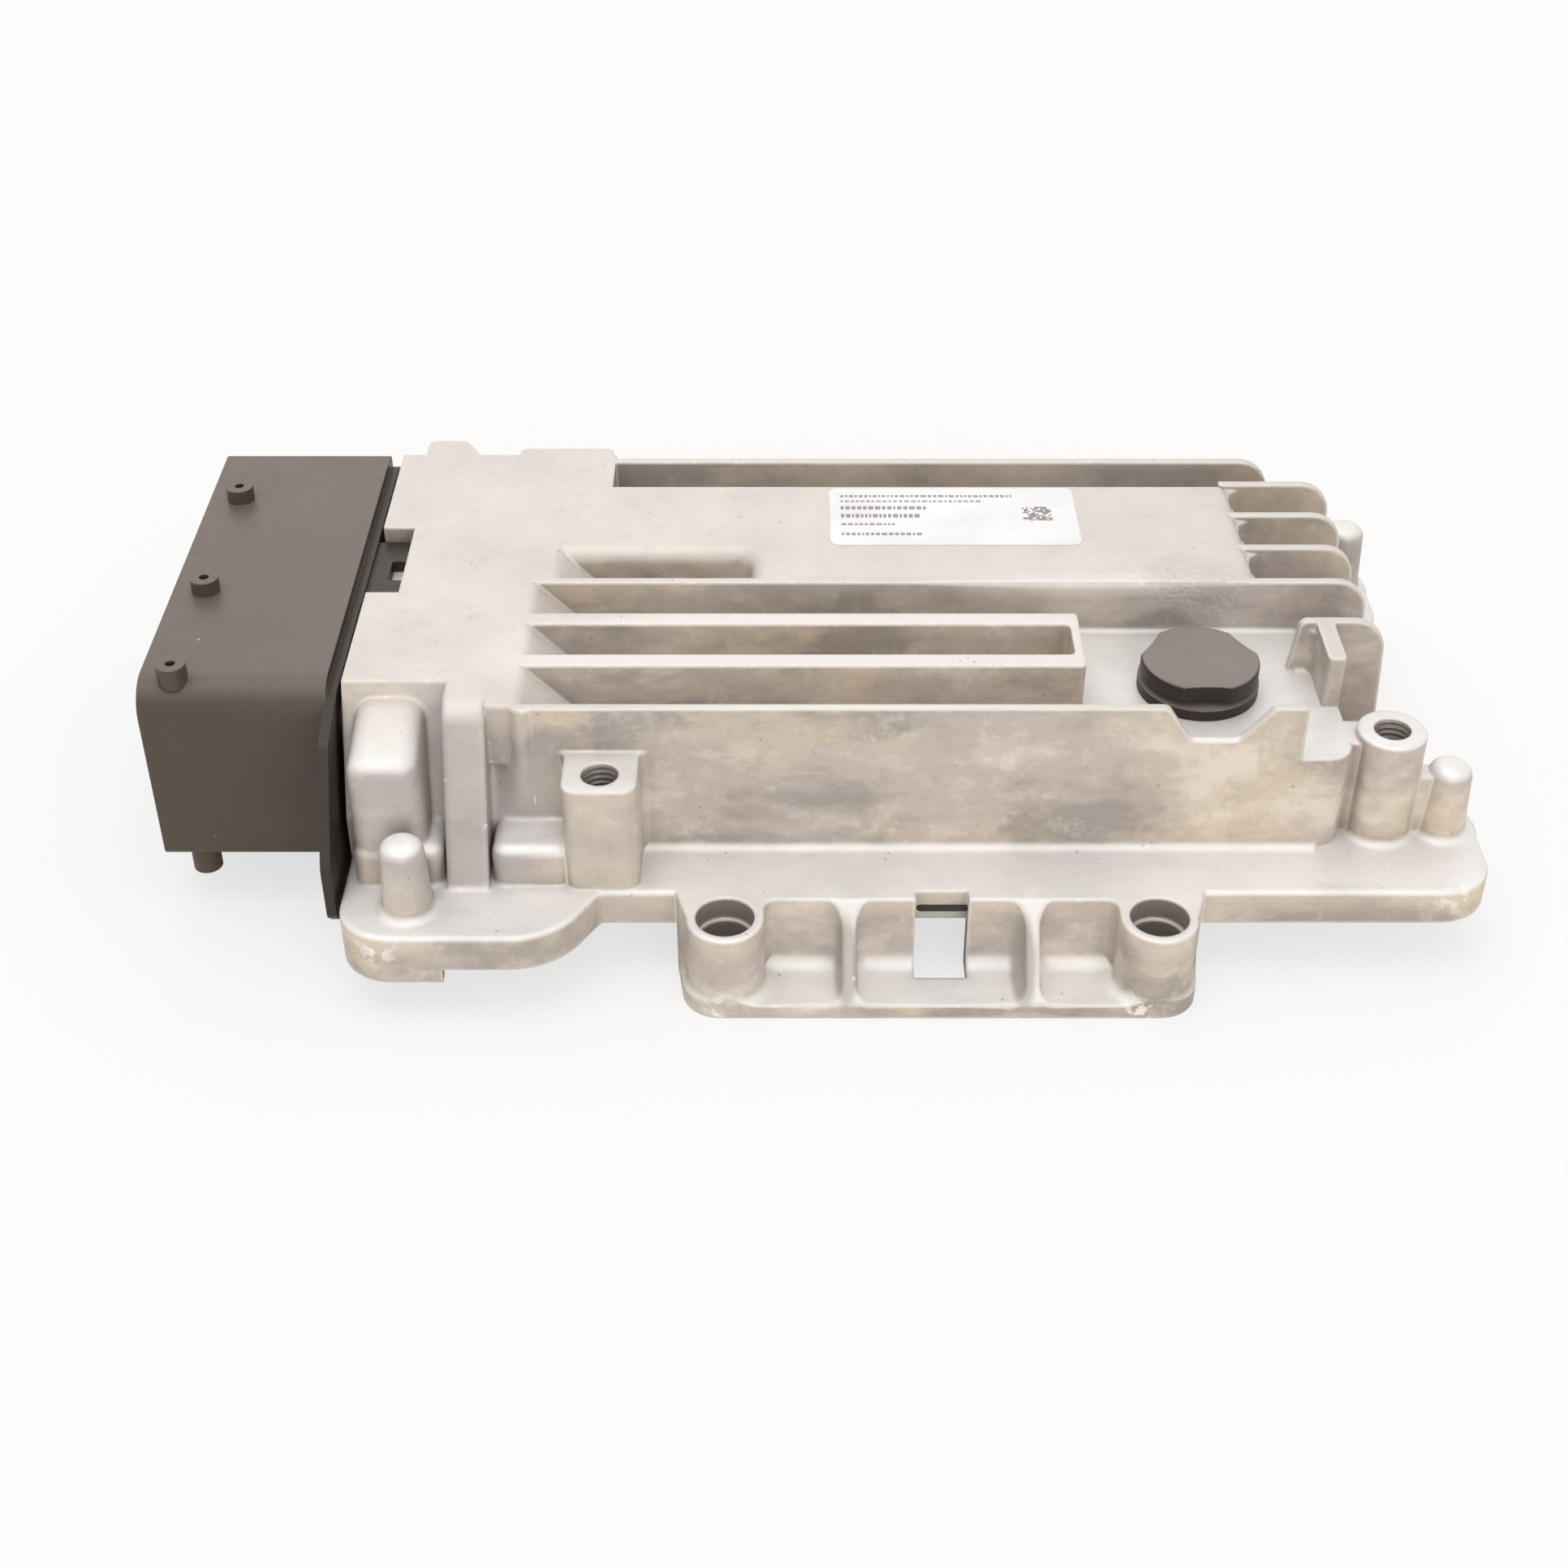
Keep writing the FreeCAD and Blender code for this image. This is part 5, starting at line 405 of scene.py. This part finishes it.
def along(tree, vector, axis):
    """One part of a vector, such as a normal's lift or a place's height."""
    split = add(tree, "ShaderNodeSeparateXYZ")
    link(tree, vector, split.inputs["Vector"])
    return split.outputs[axis]


def near(tree, where, point, inner, outer):
    """A mask that is 1 within the inner distance of a point and 0 beyond the outer one."""
    away = add(tree, "ShaderNodeVectorMath", operation="DISTANCE")
    link(tree, where, away.inputs[0])
    away.inputs[1].default_value = point
    return ramp(tree, away.outputs["Value"], outer, inner)


def spots(tree, where, scale, rim, core, spread, strength=1.0):
    """A mask of small round spots, in the areas where a broad noise is high."""
    cells = add(tree, "ShaderNodeTexVoronoi", feature="F1", Scale=scale)
    link(tree, where, cells.inputs["Vector"])
    return times(tree, ramp(tree, cells.outputs["Distance"], rim, core),
                 ramp(tree, noise(tree, where, spread, 2.0), *SPOT_AREAS, 0.0, strength))


def casting_fields(tree):
    """The normal, noises and masks that the casting's colours and relief share."""
    where = place(tree)
    lip_zone = near(tree, place(tree, (LIP_SQUEEZE, 1.0, 1.0)), *LIP_ZONE)
    shade_near = near(tree, where, *SHADED_PATCH)
    roundness = maths(tree, "ADD", between(tree, lip_zone, EDGE_RADIUS, LIP_ZONE_RADIUS),
                      between(tree, shade_near, 0.0, SHADED_EXTRA_RADIUS))
    for point in WEBS:
        web_near = near(tree, where, point, *WEB_ROUNDED)
        roundness = larger(tree, roundness, between(tree, web_near, EDGE_RADIUS, WEB_RADIUS))
    normal, edge = soft_edges(tree, roundness)
    up = along(tree, normal, "Z")
    # In the shaded patch leaning faces count as walls and take its painted shade
    topside = maths(tree, "MINIMUM", ramp(tree, up, *TOPSIDE_LIFT),
                    larger(tree, ramp(tree, up, *SHADED_TOPSIDE_LIFT), maths(tree, "SUBTRACT", 1.0, shade_near)))
    noises = {name: noise(tree, place(tree, stretch) if stretch else where, *settings)
              for name, (stretch, *settings) in CASTING_NOISES.items()}
    high = ramp(tree, along(tree, where, "Z"), LOW_TOPS_END, HIGH_TOPS_START)
    return SimpleNamespace(where=where, lip_zone=lip_zone, shade_near=shade_near, normal=normal, edge=edge, up=up,
                           topside=topside, high=high, **noises)


def layered(tree, skin, colour, layers):
    """A colour with others laid over it, each growing to its share as its noise goes from begins to full."""
    for name, begins, full, share, over in layers:
        colour = mix(tree, ramp(tree, getattr(skin, name), begins, full, 0.0, share), colour, over)
    return colour


def wall_colour(tree, skin):
    """Upright faces: grey and warm stains, painted shade towards the back and in the shaded patch by the left
    posts, warmer posts in front, darker bore walls.
    """
    tinted = larger(tree, near(tree, skin.where, *WARM_PATCH), near(tree, skin.where, *WARM_CORNER))
    warm = larger(tree, ramp(tree, skin.broad, *WARM_BROAD),
                  times(tree, tinted, ramp(tree, skin.blotch, *WARM_BLOTCH)))
    wall = layered(tree, skin, mix(tree, warm, GREY_STAIN, WARM_STAIN), WALL_LAYERS)
    # Painted shade: walls darker towards the back
    back_shade = ramp(tree, along(tree, skin.where, "Y"), *BACK_DEPTHS, 0.0, BACK_SHADE_SHARE)
    wall = mix(tree, back_shade, wall, BACK_SHADE)
    front_posts = times(tree, ramp(tree, along(tree, skin.where, "Y"), *POST_DEPTHS),
                        ramp(tree, along(tree, skin.where, "Z"), *POST_LEVELS))
    front_posts = times(tree, front_posts, ramp(tree, skin.blotch, *POST_BLOTCH))
    front_posts = times(tree, front_posts, between(tree, skin.shade_near, 1.0, 0.0))
    wall = mix(tree, front_posts, wall, FRONT_POST)
    # Painted shade over the walls of the shaded patch
    shaded = times(tree, skin.shade_near, ramp(tree, skin.blotch, *SHADED_BLOTCH))
    wall = mix(tree, shaded, wall, SHADED_WALL)
    plan = place(tree, (1.0, 1.0, 0.0))
    # Bore walls of the bracket made darker
    for centre_line in BRACKET_BORES:
        wall = mix(tree, near(tree, plan, centre_line, *BORE_WALL), wall, DARKER_BORE_WALL)
    return wall


def top_colour(tree, skin):
    """Level faces: pale on the flange and the roof, browner on the deck, with a painted highlight around the
    ribs.
    """
    low_top = layered(tree, skin, LOW_TOP, LOW_TOP_LAYERS)
    high_top = layered(tree, skin, HIGH_TOP, HIGH_TOP_LAYERS)
    # Painted highlight around the ribs
    rib_highlight = near(tree, place(tree, (RIB_SQUEEZE, 1.0, 1.0)), *RIB_HIGHLIGHT_FIELD)
    high_top = mix(tree, times(tree, rib_highlight, RIB_HIGHLIGHT_SHARE), high_top, RIB_HIGHLIGHT)
    return mix(tree, skin.high, low_top, high_top)


def weathered(tree, skin, colour):
    """Dirt and painted shade in the creases of walls, pits, rubbed edges with a painted highlight, painted shade
    on the web ridges, nicks and chipped scuffs.
    """
    creases = add(tree, "ShaderNodeAmbientOcclusion", samples=CREASE_SAMPLES, only_local=True,
                  Distance=CREASE_REACH)
    # Painted shade and dirt: ambient occlusion darkens the colour in the creases of walls
    crease_dirt_and_shade = times(tree, ramp(tree, creases.outputs["AO"], *CREASE_OCCLUSION), ramp(tree, skin.up, *CREASE_LIFT))
    crease_dirt_and_shade = times(tree, crease_dirt_and_shade, ramp(tree, skin.blotch, *CREASE_DIRT_AND_SHADE_BLOTCH))
    colour = mix(tree, crease_dirt_and_shade, colour, CREASE_DIRT_AND_SHADE)
    colour = mix(tree, times(tree, spots(tree, skin.where, *PIT_SPOTS), PIT_SHARE), colour, PIT)
    # Worn edges with a painted highlight, weaker in the shaded patch
    worn_and_highlit = times(tree, skin.edge, ramp(tree, skin.blotch, *WORN_AND_HIGHLIT_BLOTCH))
    worn_and_highlit = times(tree, worn_and_highlit, between(tree, skin.shade_near, 1.0, WORN_AND_HIGHLIT_IN_SHADE))
    colour = mix(tree, worn_and_highlit, colour, WORN_EDGE_AND_HIGHLIGHT)
    narrow = place(tree, (WEB_STRETCH, 1.0, 1.0))
    for across, front, level in WEBS:
        ridge = near(tree, narrow, (across * WEB_STRETCH, front, level), *WEB_RIDGE)
        # Painted shade on the rounded web ridges
        colour = mix(tree, times(tree, ridge, WEB_SHADE_SHARE), colour, WEB_SHADE)
    chipped = times(tree, ramp(tree, skin.edge, *NICK_EDGE),
                    ramp(tree, noise(tree, skin.where, *NICK_NOISE), *NICK_SPAN))
    for point in SCUFFS:
        flake = times(tree, near(tree, skin.where, point, *SCUFF_SIZE),
                      ramp(tree, noise(tree, skin.where, *SCUFF_NOISE), *SCUFF_SPAN))
        chipped = larger(tree, chipped, flake)
    return mix(tree, chipped, colour, BARE_CHIP)


def casting_relief(tree, skin):
    """Height of the skin: mottling and grain, drag marks on walls, flow marks on low tops, a cold-flow patch."""
    relief = maths(tree, "ADD", times(tree, skin.mottled, MOTTLE_HEIGHT), times(tree, skin.grain, GRAIN_HEIGHT))
    walls = times(tree, skin.drag, ramp(tree, skin.up, *DRAG_LIFT, 0.0, DRAG_HEIGHT))
    tops = times(tree, skin.flow, times(tree, skin.topside, ramp(tree, skin.high, 1.0, 0.0, 0.0, FLOW_HEIGHT)))
    relief = maths(tree, "ADD", relief, maths(tree, "ADD", walls, tops))
    patch = times(tree, near(tree, skin.where, *COLD_PATCH),
                  ramp(tree, noise(tree, skin.where, *COLD_NOISE), *COLD_SPAN))
    return maths(tree, "ADD", relief, times(tree, patch, COLD_HEIGHT))


def cast_metal(name):
    """Bare die-cast aluminium."""
    material, tree, shader = new_material(name)
    skin = casting_fields(tree)
    wall = wall_colour(tree, skin)
    top = top_colour(tree, skin)
    colour = mix(tree, skin.topside, wall, top)
    # Painted highlight along the plateau's front lip
    colour = mix(tree, times(tree, skin.lip_zone, LIP_HIGHLIGHT_SHARE), colour, LIP_HIGHLIGHT)
    colour = weathered(tree, skin, colour)
    link(tree, colour, shader.inputs["Base Color"])
    shader.inputs["Metallic"].default_value = CASTING_METALLIC
    link(tree, ramp(tree, skin.mottled, *NOISE_SPAN, *CASTING_ROUGHNESS), shader.inputs["Roughness"])
    relief = casting_relief(tree, skin)
    link(tree, bump(tree, relief, RELIEF_DEPTH, RELIEF_STRENGTH, skin.normal), shader.inputs["Normal"])
    return material


def darker(colour, share):
    """A colour with each part cut to a share."""
    return tuple(part * share for part in colour)


def moulded(name, colour, worn, roughness, grain_scale, metallic=0.0, edge_radius=0.3, dust_and_painted_sheen=0.0,
            clean_from=None, sheen=0.5):
    """Moulded or coated surface with fine grain, slight unevenness, paler edges, and settled dust on upward faces
    that also paints a sheen there.

    The edge radius is in millimetres. Beyond clean_from along X the surface is darker and carries no dust or
    painted sheen.
    """
    material, tree, shader = new_material(name)
    where = place(tree)
    normal, edge = soft_edges(tree, edge_radius * MM)
    uneven = noise(tree, where, UNEVEN_SCALE, UNEVEN_DETAIL)
    grain = noise(tree, where, grain_scale, 3.0)
    tone = mix(tree, ramp(tree, uneven, *NOISE_SPAN), colour, darker(colour, UNEVEN_SHADE))
    tone = mix(tree, edge, tone, worn)
    if dust_and_painted_sheen > 0.0:
        # Upward faces lighter: settled dust together with a painted sheen
        dust_and_sheen_film = times(tree, ramp(tree, along(tree, normal, "Z"), *FILM_LIFT),
                     ramp(tree, uneven, *NOISE_SPAN, dust_and_painted_sheen * FILM_LEAST, dust_and_painted_sheen))
        tone = mix(tree, dust_and_sheen_film, tone, DUST_AND_PAINTED_SHEEN)
        tone = mix(tree, spots(tree, where, *LINT_SPOTS), tone, LINT)
    if clean_from is not None:
        beyond = ramp(tree, along(tree, where, "X"), clean_from - CLEAN_BLUR, clean_from + CLEAN_BLUR)
        tone = mix(tree, beyond, tone, darker(colour, CLEAN_SHADE))
    link(tree, tone, shader.inputs["Base Color"])
    shader.inputs["Metallic"].default_value = metallic
    shader.inputs["Specular IOR Level"].default_value = sheen
    link(tree, ramp(tree, grain, *NOISE_SPAN, roughness - SMOOTHER, roughness + ROUGHER),
         shader.inputs["Roughness"])
    link(tree, bump(tree, grain, GRAIN_DEPTH, GRAIN_STRENGTH, normal), shader.inputs["Normal"])
    return material


materials = {"cast_aluminium": cast_metal("cast_aluminium")}
for slot_name, (finish, differences) in FINISHES.items():
    materials[slot_name] = moulded(slot_name, *finish, **differences)
for part in frame["record"]["subparts"]:
    shown = nodes[part["node"]]
    shown.data.materials.clear()
    shown.data.materials.append(materials[part["material_slot"]])


def new_piece(name, vertices, faces, material):
    """A mesh piece that rides on the body and takes the given material."""
    mesh = bpy.data.meshes.new(name)
    mesh.from_pydata(vertices, [], faces)
    mesh.update()
    piece = bpy.data.objects.new(name, mesh)
    bpy.context.scene.collection.objects.link(piece)
    mesh.materials.append(material)
    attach(piece, BODY)
    return piece


def dash(vertices, faces, corner, width, depth):
    """One thin raised block of ink, from its front left corner."""
    first = len(vertices)
    left, front, level = corner
    for lift in (0.0, INK_HEIGHT * MM):
        vertices += [(left, front, level + lift), (left + width, front, level + lift),
                     (left + width, front + depth, level + lift), (left, front + depth, level + lift)]
    for side in ((3, 2, 1, 0), (4, 5, 6, 7), (0, 1, 5, 4), (1, 2, 6, 5), (2, 3, 7, 6), (3, 0, 4, 7)):
        faces.append(tuple(first + number for number in side))


def label_print():
    """Ink marks on the label that stand for text, and say nothing: rows of dashes and a chequered square."""
    label_low, label_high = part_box("label")
    generator = random.Random(7)
    vertices, faces = [], []

    def on_label(across, front):
        return label_low[0] + across * MM, label_low[1] + front * MM, label_high[2]

    for front, depth, share in INK_ROWS:
        across = ROW_START
        while across < ROW_REACH * share:
            width = generator.uniform(*DASH_WIDTHS)
            dash(vertices, faces, on_label(across, front), width * MM, depth * MM)
            across += width + DASH_GAP
    for row in range(CHEQUER_ROWS):
        for column in range(CHEQUER_COLUMNS):
            if generator.random() < CHEQUER_FILL:
                corner = on_label(CHEQUER_LEFT + column * CELL, CHEQUER_FRONT + row * CELL)
                dash(vertices, faces, corner, CELL * MM, CELL * MM)
    new_piece("label_print", vertices, faces, moulded("label_ink", *INK_FINISH))


def threads():
    """The threads in the two bosses: a helical ridge on the wall of each bore."""
    profile = ((THREAD_ROOT, THREAD_HALF_ROOT), (THREAD_CREST, THREAD_HALF_CREST),
               (THREAD_CREST, -THREAD_HALF_CREST), (THREAD_ROOT, -THREAD_HALF_ROOT))
    sides = len(profile)
    count = int(THREAD_DEPTH / THREAD_PITCH * THREAD_STEPS)
    for name, (centre_x, centre_y, top) in THREADED_BORES.items():
        vertices, faces = [], []
        for step in range(count + 1):
            angle = 2.0 * math.pi * step / THREAD_STEPS
            level = top - THREAD_LEAD_IN - THREAD_PITCH * step / THREAD_STEPS
            for reach, lift in profile:
                vertices.append(((centre_x + reach * math.cos(angle)) * MM,
                                 (centre_y + reach * math.sin(angle)) * MM, (level + lift) * MM))
        for step in range(count):
            start = step * sides
            for corner in range(sides):
                after = (corner + 1) % sides
                faces.append((start + corner, start + after, start + sides + after, start + sides + corner))
        end = count * sides
        faces += [(3, 2, 1, 0), (end, end + 1, end + 2, end + 3)]
        # Darker thread finish: painted shade inside the bores
        new_piece(f"thread_{name}_boss", vertices, faces, materials["thread_metal"])


def gasket_bead():
    """The dark lip of the gasket that shows through the bracket window, above the cover's rim."""
    vertices, faces = [], []
    rings = [(BEAD_LEFT, BEAD_END_SHARE), (BEAD_LEFT + BEAD_EASE, 1.0), (BEAD_RIGHT - BEAD_EASE, 1.0),
             (BEAD_RIGHT, BEAD_END_SHARE)]
    for across, share in rings:
        for step in range(BEAD_STEPS + 1):
            angle = math.pi * step / BEAD_STEPS
            vertices.append((across * MM, (BEAD_FRONT - BEAD_SWELL * share * math.sin(angle)) * MM,
                             (BEAD_LEVEL - BEAD_SWELL * share * math.cos(angle)) * MM))
    width = BEAD_STEPS + 1
    for ring in range(len(rings) - 1):
        start, after = ring * width, (ring + 1) * width
        for step in range(BEAD_STEPS):
            faces.append((start + step, after + step, after + step + 1, start + step + 1))
        faces.append((start + BEAD_STEPS, after + BEAD_STEPS, after, start))
    faces.append(tuple(range(width)))
    faces.append(tuple(range(len(vertices) - 1, len(vertices) - 1 - width, -1)))
    piece = new_piece("gasket_bead", vertices, faces, materials["seal_rubber"])
    for face in piece.data.polygons:
        face.use_smooth = True


label_print()
threads()
gasket_bead()

# Floor: to the camera it keeps a faint shadow near the part and turns into a white page farther out
bpy.ops.mesh.primitive_plane_add(size=FLOOR_SIZE, location=(0.0, 0.0, cad_box[0][2] - FLOOR_GAP))
floor = bpy.context.object
floor.name = "floor"
floor_material, floor_tree, floor_shader = new_material("floor")
floor_shader.inputs["Base Color"].default_value = FLOOR_COLOUR
floor_shader.inputs["Roughness"].default_value = FLOOR_ROUGHNESS
floor_output = [item for item in floor_tree.nodes if item.type == "OUTPUT_MATERIAL"][0]
page = add(floor_tree, "ShaderNodeEmission", Color=WHITE, Strength=1.0)
seen = add(floor_tree, "ShaderNodeLightPath")
blend = add(floor_tree, "ShaderNodeMixShader")
farther_out = near(floor_tree, place(floor_tree), PAGE_CENTRE, PAGE_FULL, PAGE_BEGINS)
page_share = between(floor_tree, farther_out, PAGE_SHARE_NEAR, 1.0)
link(floor_tree, times(floor_tree, seen.outputs["Is Camera Ray"], page_share), blend.inputs["Fac"])
link(floor_tree, floor_shader.outputs["BSDF"], blend.inputs[1])
link(floor_tree, page.outputs["Emission"], blend.inputs[2])
link(floor_tree, blend.outputs["Shader"], floor_output.inputs["Surface"])
floor.data.materials.append(floor_material)

# World: white to the eye and in reflections, softer as light
world = bpy.data.worlds.new("studio")
bpy.context.scene.world = world
world.use_nodes = True
sky = world.node_tree
sky.nodes.clear()
sky_output = add(sky, "ShaderNodeOutputWorld")
lighting = add(sky, "ShaderNodeBackground", Color=SKY_TINT, Strength=SKY_STRENGTH)
backdrop = add(sky, "ShaderNodeBackground", Color=WHITE, Strength=1.0)
rays = add(sky, "ShaderNodeLightPath")
mirrored = larger(sky, rays.outputs["Is Glossy Ray"], rays.outputs["Is Transmission Ray"])
direct = larger(sky, rays.outputs["Is Camera Ray"], mirrored)
chosen = add(sky, "ShaderNodeMixShader")
link(sky, direct, chosen.inputs["Fac"])
link(sky, lighting.outputs["Background"], chosen.inputs[1])
link(sky, backdrop.outputs["Background"], chosen.inputs[2])
link(sky, chosen.outputs["Shader"], sky_output.inputs["Surface"])


def area_light(name, location, size, power, colour):
    """A soft square lamp aimed at the part."""
    lamp = bpy.data.lights.new(name, "AREA")
    lamp.shape = "SQUARE"
    lamp.size = size
    lamp.energy = power
    lamp.color = colour
    item = bpy.data.objects.new(name, lamp)
    bpy.context.scene.collection.objects.link(item)
    item.location = location
    aim = [LAMP_TARGET[axis] - location[axis] for axis in range(3)]
    length = math.sqrt(sum(part * part for part in aim))
    tilt = math.acos(-aim[2] / length)
    turn = math.atan2(aim[0], -aim[1])
    item.rotation_euler = (tilt, 0.0, turn + math.pi)


for lamp_settings in LAMPS:
    area_light(*lamp_settings)

# Camera, at the photograph's place
camera_data = bpy.data.cameras.new("camera")
camera_data.lens = LENS
camera_data.sensor_width = SENSOR
camera_data.sensor_fit = "HORIZONTAL"
camera_data.clip_start = NEAR_CLIP
camera = bpy.data.objects.new("camera", camera_data)
bpy.context.scene.collection.objects.link(camera)
camera.location = CAMERA_PLACE
camera.rotation_euler = (math.radians(90.0 - CAMERA_LOOKS_DOWN), 0.0, 0.0)
bpy.context.scene.camera = camera
bpy.context.scene.view_settings.view_transform = "Standard"
